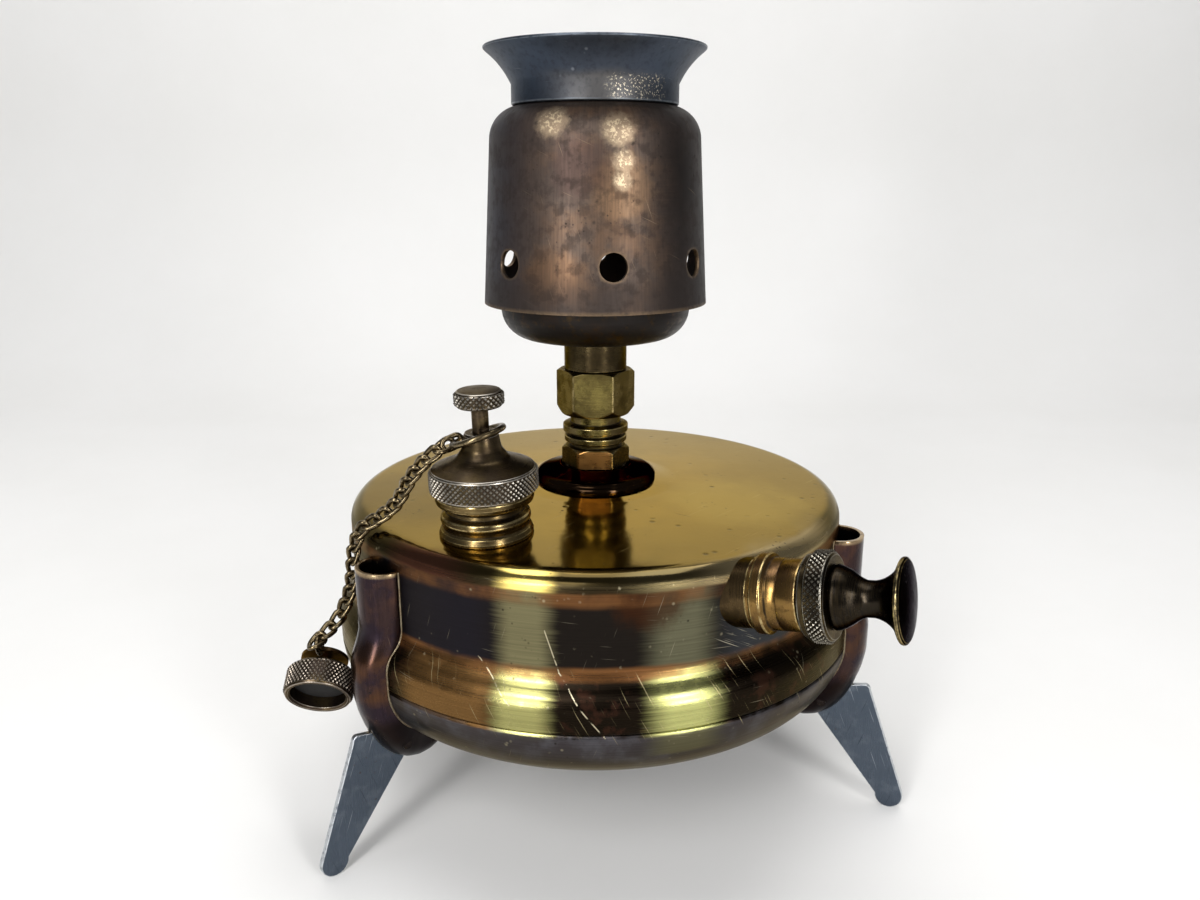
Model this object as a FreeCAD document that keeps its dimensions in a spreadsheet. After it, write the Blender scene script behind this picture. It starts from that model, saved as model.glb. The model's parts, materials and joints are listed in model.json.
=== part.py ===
import FreeCAD, Part
import math
import os
import re
import Sketcher

# Kerosene pressure stove, in millimetres.
# Origin: on the stove's own axis, at the level of the surface that it stands on. +Z is up.
# The front is -Y. An azimuth is counted from the front towards +X, in degrees.

SIZES = [
    # tank
    ("tank_radius", 52.5, "outside of the upright wall"),
    ("tank_sheet", 0.8, "thickness of the tank's brass"),
    ("bulge_proud", 3.5, "bulge outside the upright wall"),
    ("seam_height", 38.0, "edge of the upper shell, soldered to the pan"),
    ("skirt_height", 3.5, "upper shell's straight edge, from the seam to the step"),
    ("step_height", 8.0, "step between bulge and wall"),
    ("wall_height", 16.8, "from the step to the top of the rounded shoulder"),
    ("shoulder_round", 4.0, "outer radius of the shoulder"),
    ("crown_rise", 1.7, "rise of the tank top towards the riser"),
    ("pan_corner", 12.5, "outer radius of the pan's corner"),
    ("pan_dish", 1.5, "rise of the pan's middle"),
    ("lap_clear", 0.3, "pan's lap below the step"),
    ("solder_gap", 0.05, "gap that the solder fills"),
    ("turning_gap", 0.08, "radial clearance of a turning or sliding fit"),
    ("fine_bevel", 0.3, "bevel of a thin or knurled edge"),
    ("edge_bevel", 0.4, "bevel of a turned edge"),
    ("broad_bevel", 0.5, "bevel of a handled edge"),
    ("cut_past", 1.0, "cuts run past the metal by this much"),
    # riser
    ("riser_bore", 2.5, "radius of the fuel way"),
    ("riser_neck", 5.6, "radius of the riser's shank"),
    ("riser_depth", 5.5, "riser below the tank top"),
    ("flange_radius", 13.0, "riser flange"),
    ("flange_height", 3.2, "flange above the tank top"),
    ("flange_edge", 1.1, "thickness of the flange's edge"),
    ("flange_round", 2.0, "rounding of the flange's edge"),
    ("riser_flats", 12.7, "across the flats of the riser's hexagon"),
    ("riser_hex_height", 4.0, "height of that hexagon"),
    ("ring_gap", 0.8, "groove beside a turned ring"),
    ("low_ring", 6.7, "radius of the riser's lower ring"),
    ("high_ring", 7.0, "radius of the riser's upper ring"),
    ("ring_height", 1.6, "height of each ring"),
    ("nose_length", 5.5, "riser's threaded nose above the upper ring"),
    ("nose_bevel", 1.2, "bevel of the riser's nose"),
    # dip tube and strainer
    ("dip_radius", 2.4, "fuel dip tube"),
    ("dip_bore", 1.7, "bore of the dip tube"),
    ("dip_grip", 3.0, "length of the dip tube inside the riser"),
    ("strainer_radius", 3.6, "gauze strainer"),
    ("strainer_height", 5.0, "height of the strainer"),
    ("strainer_clear", 1.6, "strainer above the pan"),
    # union nut
    ("nut_flats", 14.5, "across the flats of the union nut"),
    ("nut_overlap", 3.2, "union nut over the riser's nose"),
    ("nut_cone_height", 2.7, "height of its lower bevel"),
    ("nut_lip", 7.1, "radius of its lower end"),
    ("nut_height", 9.6, "union nut"),
    ("nut_roof", 2.4, "thickness of the nut's top"),
    ("nut_turn", -4.0, "turn of the nut's flats"),
    # burner stem, cup and manifold
    ("stem_radius", 6.6, "plain stem above the nut"),
    ("stem_neck", 4.6, "stem inside the nut's top"),
    ("stem_bore", 1.6, "radius of the stem's fuel way"),
    ("spigot_radius", 4.0, "stem's spigot through the cup"),
    ("stem_height", 6.8, "plain stem between nut and spirit cup"),
    ("cup_radius", 19.55, "outside of the spirit cup"),
    ("cup_foot", 13.4, "radius of the cup's flat bottom"),
    ("cup_round", 5.6, "rounding of the cup's corner"),
    ("cup_height", 8.6, "height of the spirit cup"),
    ("burner_sheet", 0.8, "thickness of the cup, shroud and funnel"),
    ("hub_radius", 6.8, "manifold hub"),
    ("hub_height", 5.2, "height of the hub"),
    ("bar_width", 4.4, "width and height of a manifold bar"),
    ("bar_length", 24.0, "length of a manifold bar"),
    ("tube_radius", 1.7, "vaporizer tube"),
    ("tube_bore", 1.1, "bore of a vaporizer tube"),
    ("tube_spread", 9.5, "vaporizer tubes from the axis, sideways"),
    ("tube_bend", 4.0, "radius of a vaporizer tube's bend"),
    ("tube_height", 35.0, "vaporizer tubes above the cup's underside"),
    # nipple, mixing tube, plate and flame cap
    ("nipple_flats", 6.0, "across the flats of the jet nipple"),
    ("nipple_height", 3.6, "height of the jet nipple"),
    ("jet_bore", 0.4, "radius of the jet"),
    ("mixing_radius", 4.6, "mixing tube"),
    ("mixing_bell", 7.2, "mouth of the mixing tube"),
    ("jet_distance", 10.05, "from the jet to the mixing tube"),
    ("mixing_wall", 0.7, "wall of the mixing tube"),
    ("plate_radius", 14.6, "burner plate"),
    ("plate_thickness", 0.9, "burner plate"),
    ("arm_width", 4.5, "width of a plate arm"),
    ("flame_cap_radius", 12.2, "inner flame cap"),
    ("flame_cap_height", 9.2, "inner flame cap"),
    ("flame_cap_round", 2.0, "rounding of the flame cap"),
    ("flame_cap_dome", 0.8, "rise of the flame cap's top"),
    ("arm_gap", 0.5, "burner plate's arms short of the shroud"),
    ("flame_hole", 0.9, "radius of a flame hole"),
    # shroud
    ("shroud_overlap", 1.2, "shroud's lower edge below the cup's rim"),
    ("shroud_foot", 22.98, "radius of the lower edge"),
    ("shroud_radius", 21.1, "radius under the shoulder"),
    ("shoulder_rise", 4.35, "shroud's shoulder above the burner plate"),
    ("shroud_crown", 5.6, "height of the shroud's shoulder"),
    ("shroud_round", 6.6, "outer radius of its shoulder"),
    ("draught_rise", 8.9, "draught holes above the shroud's lower edge"),
    ("draught_radius", 2.7, "radius of a draught hole"),
    ("lug_height", 1.6, "height of a lug inside the shroud"),
    ("lug_reach", 2.6, "reach of a lug from the wall's middle"),
    # funnel
    ("funnel_neck", 16.6, "neck of the funnel"),
    ("funnel_spigot", 15.3, "funnel's spigot inside the shroud"),
    ("spigot_depth", 3.0, "depth of the spigot"),
    ("neck_height", 4.0, "height of the neck above the shroud"),
    ("funnel_lip", 21.9, "radius of the lip"),
    ("flare_height", 6.9, "height of the flare"),
    ("funnel_flare", 16.0, "radius of the flare's curve"),
    # filler
    ("filler_inset", 14.8, "filler's axis inside the upright wall"),
    ("filler_azimuth", -33.0, "azimuth of the filler"),
    ("filler_depth", 6.0, "filler's parts below the tank top"),
    ("collar_radius", 8.6, "filler collar"),
    ("collar_height", 8.4, "filler collar"),
    ("collar_groove", 0.7, "depth of the collar's grooves"),
    ("collar_bore", 5.9, "bore of the collar"),
    ("collar_spigot", 6.9, "collar's spigot in the tank top"),
    ("cap_radius", 10.2, "knurled rim of the filler cap"),
    ("cap_rim", 4.5, "height of the rim"),
    ("cap_cone", 2.9, "height of the cone"),
    ("cap_neck_foot", 4.0, "radius of the neck's foot"),
    ("cap_neck_top", 2.9, "radius of the neck's top"),
    ("cap_neck_height", 3.8, "height of the neck"),
    ("cap_plug", 6.0, "depth of the plug in the collar"),
    ("screw_radius", 1.55, "air screw's stem"),
    ("screw_length", 4.9, "stem between neck and head"),
    ("screw_head", 4.65, "radius of the air screw's head"),
    ("screw_head_height", 2.9, "height of the head"),
    ("screw_tip", 1.3, "length of the screw's point"),
    ("seal_thickness", 0.9, "filler seal"),
    ("crown_flat", 0.6, "flat in the middle of a turned crown"),
    ("ring_wire", 0.45, "radius of the neck ring's wire"),
    ("ring_reach", 4.9, "radius of the neck ring"),
    ("ring_tilt", 20.0, "tilt of the neck ring"),
    ("ring_drop", 0.85, "neck ring below the neck's top"),
    ("ring_shift", 0.7, "neck ring off the filler's axis"),
    ("ring_azimuth", -112.0, "side to which the ring hangs"),
    # chain
    ("link_wire", 0.38, "radius of the links' wire"),
    ("link_length", 4.3, "outer length of a link"),
    ("link_width", 2.6, "outer width of a link"),
    ("link_twist", 42.0, "turn of each link about the chain"),
    ("end_link_length", 4.9, "outer length of the links at the chain's ends"),
    ("end_link_width", 3.1, "outer width of the links at the chain's ends"),
    # blanking cap
    ("blank_radius", 6.7, "blanking cap"),
    ("blank_height", 5.6, "blanking cap"),
    ("blank_bore", 5.3, "bore of the blanking cap"),
    ("blank_roof", 1.9, "thickness of the cap's end"),
    ("blank_bevel", 0.6, "bevel of the cap's ends"),
    ("blank_proud", 7.4, "cap's middle outside the bulge"),
    ("blank_drop", 2.4, "cap's middle below the seam"),
    ("blank_azimuth", -58.3, "azimuth of the cap"),
    ("blank_turn", 180.0, "azimuth to which its closed end points"),
    ("blank_tilt", 34.0, "rise of its closed end"),
    ("swivel_radius", 4.6, "swivel ring on the blanking cap"),
    ("swivel_plate", 0.7, "thickness of the swivel ring"),
    ("swivel_gap", 2.3, "swivel ring above the cap"),
    ("swivel_play", 0.3, "swivel ring below the stud's head"),
    ("stud_radius", 1.3, "stud of the blanking cap"),
    ("stud_head", 2.1, "head of the stud"),
    ("stud_head_height", 1.1, "head of the stud"),
    ("stud_grip", 1.4, "stud inside the cap"),
    ("eye_place", 3.4, "chain's eye from the stud"),
    ("eye_radius", 0.75, "chain's eye"),
    ("blank_seal", 1.0, "seal in the blanking cap"),
    # pump, along its own axis from the valve's end outwards
    ("pump_azimuth", 60.5, "azimuth of the pump's axis"),
    ("pump_tilt", 9.0, "rise of the pump's axis"),
    ("pump_offset", 24.5, "pump's axis beside the stove's axis"),
    ("pump_drop", 6.0, "pump's axis at the boss below the shoulder's top"),
    ("boss_proud", 3.1, "boss face datum outside the wall"),
    ("pump_length", 60.0, "from the valve's end to the boss face datum"),
    ("pump_radius", 5.6, "pump tube"),
    ("pump_wall", 0.5, "wall of the pump tube"),
    ("boss_radius", 6.4, "pump boss"),
    ("boss_inner", 8.0, "boss inside the wall"),
    ("boss_outer", 6.2, "boss outside the datum"),
    ("boss_ring", 7.2, "ring of the boss"),
    ("boss_ring_back", 2.2, "ring behind the datum"),
    ("boss_ring_width", 2.6, "width of the ring"),
    ("pump_cap_back", 6.5, "pump cap from the datum"),
    ("pump_cap_step", 1.2, "plain part of the pump cap"),
    ("pump_cap_small", 7.3, "radius of the plain part"),
    ("pump_cap_radius", 8.1, "knurled part of the pump cap"),
    ("pump_cap_width", 4.8, "length of the pump cap"),
    ("pump_cap_roof", 1.8, "end wall of the pump cap"),
    ("rod_radius", 1.6, "pump rod"),
    ("knob_base", 5.7, "base of the knob"),
    ("knob_neck", 3.15, "neck of the knob"),
    ("knob_radius", 7.3, "knob's disc"),
    ("knob_length", 12.6, "length of the knob"),
    ("knob_dome", 5.4, "length of the knob's dome"),
    ("knob_flare", 4.2, "length of the flare to the disc"),
    ("knob_crown", 0.6, "rise of the disc's face"),
    ("knob_rim", 1.0, "thickness of the disc's edge"),
    ("leather_place", 11.0, "back of the leather from the valve's end"),
    ("leather_length", 4.0, "pump leather"),
    ("leather_wall", 1.0, "pump leather"),
    ("washer_radius", 3.6, "washers beside the leather's web"),
    ("backing_radius", 4.7, "backing washer"),
    ("washer_thickness", 0.8, "washers of the leather"),
    ("leather_nut", 3.0, "radius of the nut on the rod"),
    ("leather_nut_height", 1.4, "nut on the rod"),
    ("spring_radius", 3.2, "middle radius of the pump spring"),
    ("spring_wire", 0.35, "radius of its wire"),
    ("spring_pitch", 1.6, "pitch of the pump spring"),
    ("spring_turns", 5.0, "turns of the pump spring"),
    # non-return valve
    ("valve_length", 8.0, "valve body"),
    ("valve_chamber", 2.7, "radius of the valve's chamber"),
    ("valve_floor", 1.5, "floor of the chamber"),
    ("valve_seat", 2.0, "wall with the seat"),
    ("valve_port", 0.9, "radius of the ports"),
    ("pip_radius", 2.2, "valve pip"),
    ("pip_height", 1.3, "valve pip"),
    ("valve_wire", 0.25, "radius of the valve spring's wire"),
    ("valve_coil", 1.6, "middle radius of the valve spring"),
    ("valve_turns", 3.0, "turns of the valve spring"),
    # legs
    ("leg_azimuth", -49.5, "azimuth of the first leg"),
    ("sleeve_width", 10.4, "width of a leg sleeve"),
    ("sleeve_proud", 5.3, "sleeve outside the wall"),
    ("sleeve_bulge", 4.0, "sleeve outside the bulge"),
    ("sleeve_drop", 5.3, "sleeve's top below the shoulder's top"),
    ("sleeve_sheet", 0.8, "thickness of the sleeve"),
    ("sleeve_depth", 9.5, "depth of the sleeve's sections before the tank is cut away"),
    ("slot_reach", 6.0, "foot's slot inside the pan's corner"),
    ("foot_thickness", 1.2, "steel plate of a foot"),
    ("foot_gap", 0.3, "clearance beside a foot"),
    ("pin_inset", 4.1, "foot pin inside the bulge's outside"),
    ("pin_drop", 1.1, "foot pin below the pan's edge"),
    ("pin_radius", 0.9, "foot pin"),
    ("pin_length", 8.6, "foot pin"),
    ("foot_spread", 11.0, "foot's tip outside the bulge"),
    ("foot_tip_radius", 2.9, "rounding of the foot's tip"),
    ("foot_eye", 2.5, "foot's end around its pin"),
    ("heel_inset", 1.7, "foot's heel inside its pin"),
    ("heel_drop", 3.8, "foot's heel below its pin"),
    ("foot_shoulder_reach", 9.3, "foot's shoulder outside its pin"),
    ("foot_shoulder_rise", 3.7, "foot's shoulder above its pin"),
    ("foot_shoulder_round", 1.2, "rounding of the foot's shoulder"),
]

LEGS = 3
# Stations of a sleeve's nose round the pan's corner: angle, reach and width as shares.
NOSE = [
    (0, 1.0, 1.0), (15, 1.03, 1.0), (28, 1.13, 1.0), (40, 1.33, 0.97), (50, 1.55, 0.91), (60, 1.71, 0.82),
    (68, 1.78, 0.72), (76, 1.75, 0.59), (84, 1.6, 0.46), (90, 1.4, 0.36),
]
# Heights of a sleeve's sections beside the step, as shares of the step.
STEP_SHARES = (1.0, 0.82, 0.66, 0.5, 0.34, 0.18, 0.0)
# The chain's way over the tank's shoulder, as shares: of the way from the wall to what holds that end of the
# chain, of the turn from the filler's azimuth to the cap's, and of the height between shoulder and holder.
RING_WAY = [
    (0.642, 0.4032, 0.903), (0.454, 0.5929, 0.623), (0.360, 0.7352, 0.3086), (0.180, 0.8814, 0.12),
]
EYE_WAY = [
    (0.0837, 0.996, 0.008), (0.2197, 1.0514, 0.1932), (0.251, 1.0632, 0.3663), (0.3033, 1.0711, 0.5193),
    (0.4603, 1.087, 0.6723), (0.659, 1.0949, 0.8011),
]
DRAUGHT_ANGLES = [8.9, 58.2, 120.0, 180.0, 240.0, 312.5]
PLATE_ARMS = 3
FLAME_HOLES = 12

# Sizes that follow from the ones above.
DERIVED = {
    "tank_inside": "tank_radius - tank_sheet",
    "bulge_radius": "tank_radius + bulge_proud",
    "step_low": "seam_height + skirt_height",
    "step_high": "step_low + step_height",
    "shoulder_height": "step_high + wall_height",
    "crown_height": "shoulder_height + crown_rise",
    "lap_length": "skirt_height - lap_clear",
    "bulge_inside": "bulge_radius - tank_sheet",
    "step_half": "(bulge_radius - tank_radius) / 2",
    "step_rise": "(step_high - step_low) / 2",
    "step_round": "(step_half ^ 2 + step_rise ^ 2) / (2 * step_half)",
    "shoulder_start": "tank_radius - shoulder_round",
    "shoulder_low": "shoulder_height - shoulder_round",
    "crown_hole": "riser_neck + solder_gap",
    "crown_slope": "(crown_height - shoulder_height) / (shoulder_start - crown_hole)",
    "pan_low": "seam_height - pan_corner",
    "pan_flat": "bulge_radius - pan_corner",
    "lap_radius": "bulge_inside - solder_gap",
    "flange_low": "crown_height - crown_slope * (flange_radius - crown_hole)",
    "riser_end": "crown_height - riser_depth",
    "flange_top": "crown_height + flange_height",
    "riser_corner": "riser_flats / 2 / cos(30deg)",
    "riser_hex_top": "flange_top + riser_hex_height",
    "low_ring_base": "riser_hex_top + ring_gap",
    "high_ring_base": "low_ring_base + ring_height + ring_gap",
    "nose_height": "high_ring_base + ring_height + nose_length",
    "riser_thread": "riser_neck - 0.1 * ring_height",
    "strainer_low": "pan_low + tank_sheet + pan_dish + strainer_clear",
    "nut_bottom": "nose_height - nut_overlap",
    "nut_top": "nut_bottom + nut_height",
    "nut_corner": "nut_flats / 2 / cos(30deg)",
    "nut_flank": "nut_bottom + nut_cone_height",
    "nut_bevel": "(nut_corner - nut_flats / 2) / 2",
    "nut_bore": "riser_thread + turning_gap",
    "nut_ceiling": "nut_top - nut_roof",
    "stem_collar": "nut_bore - turning_gap",
    "stem_low": "nose_height + solder_gap",
    "cup_bottom": "nut_top + stem_height",
    "cup_floor": "cup_bottom + burner_sheet",
    "hub_low": "cup_floor + solder_gap",
    "hub_top": "hub_low + hub_height",
    "bar_low": "hub_top - bar_width - 0.1 * hub_height",
    "bar_top": "bar_low + bar_width",
    "tube_top": "cup_bottom + tube_height",
    "mixing_low": "hub_top + nipple_height + jet_distance",
    "plate_low": "tube_top + solder_gap",
    "plate_top": "plate_low + plate_thickness",
    "shroud_low": "cup_bottom + cup_height - shroud_overlap",
    "shroud_shoulder": "plate_top + shoulder_rise",
    "shroud_high": "shroud_shoulder + shroud_crown",
    "draught_height": "shroud_low + draught_rise",
    "shroud_slope": "(shroud_foot - shroud_radius) / (shroud_shoulder - shroud_low)",
    "plate_reach": "shroud_radius + shroud_slope * (shroud_shoulder - plate_top) - burner_sheet - arm_gap",
    "lug_low": "plate_top + solder_gap",
    "shroud_mouth": "funnel_spigot + turning_gap",
    "shroud_ledge": "shroud_radius - (shroud_high - shroud_shoulder)",
    "neck_top": "shroud_high + neck_height",
    "funnel_top": "neck_top + flare_height",
    "spigot_low": "shroud_high - spigot_depth",
    "filler_place": "tank_radius - filler_inset",
    "filler_lean": "atan(crown_slope)",
    "filler_surface": "crown_height - crown_slope * (filler_place - crown_hole)",
    "collar_top": "filler_depth + collar_height",
    "cap_low": "collar_top + solder_gap",
    "cap_rim_top": "cap_low + cap_rim",
    "cap_cone_top": "cap_rim_top + cap_cone",
    "cap_top": "cap_cone_top + cap_neck_height",
    "ring_level": "cap_top - ring_drop",
    "screw_bore": "screw_radius + turning_gap",
    "screw_head_low": "cap_top + screw_length",
    "pump_height": "shoulder_height - pump_drop",
    "boss_plan": "sqrt((tank_radius + boss_proud) ^ 2 - pump_offset ^ 2)",
    "pump_run": "boss_plan - pump_length * cos(pump_tilt * 1deg)",
    "boss_bore": "pump_radius + solder_gap",
    "boss_end": "pump_length + boss_outer",
    "pump_cap_low": "pump_length + pump_cap_back",
    "pump_cap_end": "pump_cap_low + pump_cap_width",
    "knob_low": "pump_cap_end + solder_gap",
    "knob_end": "knob_low + knob_length",
    "rod_end": "knob_low + knob_dome",
    "pump_bore": "pump_radius - pump_wall",
    "leather_radius": "pump_bore - solder_gap",
    "leather_end": "leather_place + leather_length",
    "rod_low": "leather_place - leather_nut_height - washer_thickness",
    "spring_high": "pump_cap_end - pump_cap_roof - solder_gap - spring_wire",
    "seat_low": "valve_length - valve_seat",
    "pip_low": "seat_low - solder_gap - pip_height",
    "valve_spring_length": "pip_low - valve_floor - 2 * valve_wire - 2 * solder_gap",
    "sleeve_wall": "tank_radius + sleeve_proud",
    "sleeve_far": "bulge_radius + sleeve_bulge",
    "sleeve_top": "shoulder_height - sleeve_drop",
    "pin_place": "bulge_radius - pin_inset",
    "pin_height": "pan_low - pin_drop",
    "slot_width": "foot_thickness + 2 * foot_gap",
    "slot_top": "foot_shoulder_height + foot_gap",
    "foot_tip_place": "bulge_radius + foot_spread",
    "foot_heel_place": "pin_place - heel_inset",
    "foot_heel_height": "pin_height - heel_drop",
    "foot_shoulder_place": "pin_place + foot_shoulder_reach",
    "foot_shoulder_height": "pin_height + foot_shoulder_rise",
}

LEFT, RIGHT = 1, -1
WORD = re.compile(r"[a-z][a-z0-9_]*")

doc = FreeCAD.newDocument("pressure_stove")
sheet = doc.addObject("Spreadsheet::Sheet", "Sizes")
for row, (alias, value, note) in enumerate(SIZES, start=1):
    sheet.set("A%d" % row, note)
    sheet.set("B%d" % row, str(value))
    sheet.setAlias("B%d" % row, alias)
doc.recompute()
ALIASES = {alias for alias, value, note in SIZES}


def formula(text):
    """Write out a formula: derived sizes in brackets, and the sheet's name before each alias."""
    def word(match):
        name = match.group(0)
        if name in DERIVED:
            return "(" + formula(DERIVED[name]) + ")"
        return "Sizes." + name if name in ALIASES else name
    return WORD.sub(word, str(text))


def size(text):
    """The value of a formula, in millimetres or degrees."""
    value = sheet.evalExpression(formula(text))
    return float(getattr(value, "Value", value))


def bind(thing, path, text):
    """Tie a property or a constraint to the sheet."""
    thing.setExpression(path, formula(text))


def new_body(label):
    body = doc.addObject("PartDesign::Body", label)
    body.Label = label
    return body


def origin_feature(body, role):
    return next(feature for feature in body.Origin.OriginFeatures if feature.Role == role)


def sketch_on(body, name, role, height=None):
    """A sketch on one of the body's own planes, moved off it by height where that is given."""
    sketch = body.newObject("Sketcher::SketchObject", name)
    sketch.AttachmentSupport = [(origin_feature(body, role), "")]
    sketch.MapMode = "FlatFace"
    if height is not None:
        bind(sketch, "AttachmentOffset.Base.z", height)
    return sketch


def tie_point(sketch, edge, end, across, up):
    for kind, text in (("DistanceX", across), ("DistanceY", up)):
        index = sketch.addConstraint(Sketcher.Constraint(kind, -1, 1, edge, end, size(text)))
        bind(sketch, "Constraints[%d]" % index, text)


def arc_middle(start, end, radius, side):
    """The middle of a short arc that bulges to the given side of the way from start to end."""
    chord = end - start
    across = FreeCAD.Vector(-chord.y, chord.x, 0).normalize()
    half = chord.Length / 2
    rise = radius - math.sqrt(max(radius ** 2 - half ** 2, 0))
    return (start + end) / 2 + across * (side * rise)


def outline(sketch, corners):
    """A closed outline. A corner is (across, up), or (across, up, radius, side) where an arc
    leads from it to the next corner."""
    spots = [FreeCAD.Vector(size(corner[0]), size(corner[1]), 0) for corner in corners]
    first = sketch.GeometryCount
    ends = []
    for number, corner in enumerate(corners):
        start = spots[number]
        end = spots[(number + 1) % len(spots)]
        if len(corner) == 2:
            edge = sketch.addGeometry(Part.LineSegment(start, end), False)
            ends.append((edge, 1, 2))
            continue
        middle = arc_middle(start, end, size(corner[2]), corner[3])
        if corner[3] == RIGHT:
            edge = sketch.addGeometry(Part.Arc(start, middle, end), False)
            ends.append((edge, 1, 2))
        else:
            edge = sketch.addGeometry(Part.Arc(end, middle, start), False)
            ends.append((edge, 2, 1))
    for number, corner in enumerate(corners):
        edge, head, tail = ends[number]
        before = ends[number - 1]
        tie_point(sketch, edge, head, corner[0], corner[1])
        sketch.addConstraint(Sketcher.Constraint("Coincident", before[0], before[2], edge, head))
    for number, corner in enumerate(corners):
        if len(corner) == 4:
            edge = first + number
            index = sketch.addConstraint(Sketcher.Constraint("Radius", edge, size(corner[2])))
            bind(sketch, "Constraints[%d]" % index, corner[2])


def circle(sketch, across, up, radius):
    place = FreeCAD.Vector(size(across), size(up), 0)
    normal = FreeCAD.Vector(0, 0, 1)
    edge = sketch.addGeometry(Part.Circle(place, normal, size(radius)), False)
    index = sketch.addConstraint(Sketcher.Constraint("Radius", edge, size(radius)))
    bind(sketch, "Constraints[%d]" % index, radius)
    tie_point(sketch, edge, 3, across, up)


def turned(body, name, corners, kind="Revolution"):
    """A solid of revolution about the body's Z axis, or with kind Groove a turned cut."""
    sketch = sketch_on(body, name + "Section", "XZ_Plane")
    outline(sketch, corners)
    feature = body.newObject("PartDesign::" + kind, name)
    feature.Profile = sketch
    feature.ReferenceAxis = (sketch, ["V_Axis"])
    feature.Angle = 360
    sketch.Visibility = False
    return feature


def padded(body, name, sketch, length, midplane=False):
    pad = body.newObject("PartDesign::Pad", name)
    pad.Profile = sketch
    bind(pad, "Length", length)
    pad.Midplane = midplane
    return pad


def pocketed(body, name, sketch, length, midplane=False):
    """A cut that runs from the sketch against its normal, or both ways from it."""
    pocket = body.newObject("PartDesign::Pocket", name)
    pocket.Profile = sketch
    bind(pocket, "Length", length)
    pocket.Midplane = midplane
    return pocket


def flats(body, name, across_flats, low, high, turn="0"):
    """Mill a turned blank to a hexagon between two heights."""
    sketch = sketch_on(body, name + "Hexagon", "XY_Plane", high)
    corner = "%s / 2 / cos(30deg)" % across_flats
    angles = ["(%s + %d) * 1deg" % (turn, 60 * side) for side in range(6)]
    outline(sketch, [("%s * cos(%s)" % (corner, angle), "%s * sin(%s)" % (corner, angle))
                     for angle in angles])
    circle(sketch, "0", "0", across_flats)
    return pocketed(body, name, sketch, "(%s) - (%s)" % (high, low))


def ring_pattern(body, feature, name, count):
    pattern = body.newObject("PartDesign::PolarPattern", name)
    pattern.Originals = [feature]
    pattern.Axis = (origin_feature(body, "Z_Axis"), [""])
    pattern.Angle = 360
    pattern.Occurrences = count
    body.Tip = pattern
    return pattern


def bored(body, name, radius, length, placement):
    """A round hole with its own place: placement is an expression of the body's frame."""
    hole = body.newObject("PartDesign::SubtractiveCylinder", name)
    bind(hole, "Radius", radius)
    bind(hole, "Height", length)
    bind(hole, "Placement", placement)
    return hole


def leaning(place, azimuth, rise):
    """A frame at place whose Z axis points to an azimuth and rises by an angle."""
    return ("placement(vector(%s; %s; %s); rotation(vector(cos((%s) * 1deg); sin((%s) * 1deg); 0); "
            "90deg - (%s)))" % (place + (azimuth, azimuth, rise)))


def along_axis(frame, distance):
    """The frame moved along its own Z axis."""
    return "(%s) * placement(vector(0; 0; %s); rotation(vector(0; 0; 1); 0deg))" % (frame, distance)


def facing(azimuth):
    """A frame on the stove's axis whose X axis points to an azimuth."""
    return "placement(vector(0; 0; 0); rotation(vector(0; 0; 1); ((%s) - 90) * 1deg))" % azimuth


FILLER_FRAME = leaning((
    "(filler_place - filler_depth * sin(filler_lean)) * sin(filler_azimuth * 1deg)",
    "-(filler_place - filler_depth * sin(filler_lean)) * cos(filler_azimuth * 1deg)",
    "filler_surface - filler_depth * cos(filler_lean)"),
    "filler_azimuth", "90deg - filler_lean")
PUMP_FRAME = leaning((
    "pump_run * sin(pump_azimuth * 1deg) - pump_offset * cos(pump_azimuth * 1deg)",
    "-pump_run * cos(pump_azimuth * 1deg) - pump_offset * sin(pump_azimuth * 1deg)",
    "pump_height - pump_length * sin(pump_tilt * 1deg)"),
    "pump_azimuth", "pump_tilt * 1deg")
BLANK_FRAME = leaning((
    "(bulge_radius + blank_proud) * sin(blank_azimuth * 1deg)"
    " - blank_height / 2 * sin(blank_turn * 1deg) * cos(blank_tilt * 1deg)",
    "-(bulge_radius + blank_proud) * cos(blank_azimuth * 1deg)"
    " + blank_height / 2 * cos(blank_turn * 1deg) * cos(blank_tilt * 1deg)",
    "seam_height - blank_drop - blank_height / 2 * sin(blank_tilt * 1deg)"),
    "blank_turn", "blank_tilt * 1deg")


# ---------------------------------------------------------------- tank

def tank_upper_shell():
    body = new_body("tank_upper_shell")
    middle_out = ("bulge_radius - step_half", "step_low + step_rise")
    lean_across = "(1 - step_half / step_round)"
    lean_up = "(step_rise / step_round)"
    middle_in = ("bulge_radius - step_round + (step_round - tank_sheet) * " + lean_across,
                 "step_low + (step_round - tank_sheet) * " + lean_up)
    turned(body, "Shell", [
        ("bulge_radius", "seam_height"),
        ("bulge_radius", "step_low", "step_round", RIGHT),
        middle_out + ("step_round", LEFT),
        ("tank_radius", "step_high"),
        ("tank_radius", "shoulder_low", "shoulder_round", RIGHT),
        ("shoulder_start", "shoulder_height"),
        ("crown_hole", "crown_height"),
        ("crown_hole", "crown_height - tank_sheet"),
        ("shoulder_start", "shoulder_height - tank_sheet", "shoulder_round - tank_sheet", LEFT),
        ("tank_inside", "shoulder_low"),
        ("tank_inside", "step_high", "step_round + tank_sheet", RIGHT),
        middle_in + ("step_round - tank_sheet", LEFT),
        ("bulge_inside", "step_low"),
        ("bulge_inside", "seam_height"),
    ])
    bored(body, "FillerHole", "collar_spigot + solder_gap", "2 * filler_depth", FILLER_FRAME)
    bored(body, "PumpHole", "boss_radius + solder_gap", "pump_length + boss_outer", PUMP_FRAME)
    ring_seat = "pump_length - boss_ring_back - solder_gap"
    bored(body, "BossRingSeat", "boss_ring + solder_gap", "boss_outer + boss_ring_back",
          along_axis(PUMP_FRAME, ring_seat))
    return body


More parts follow.
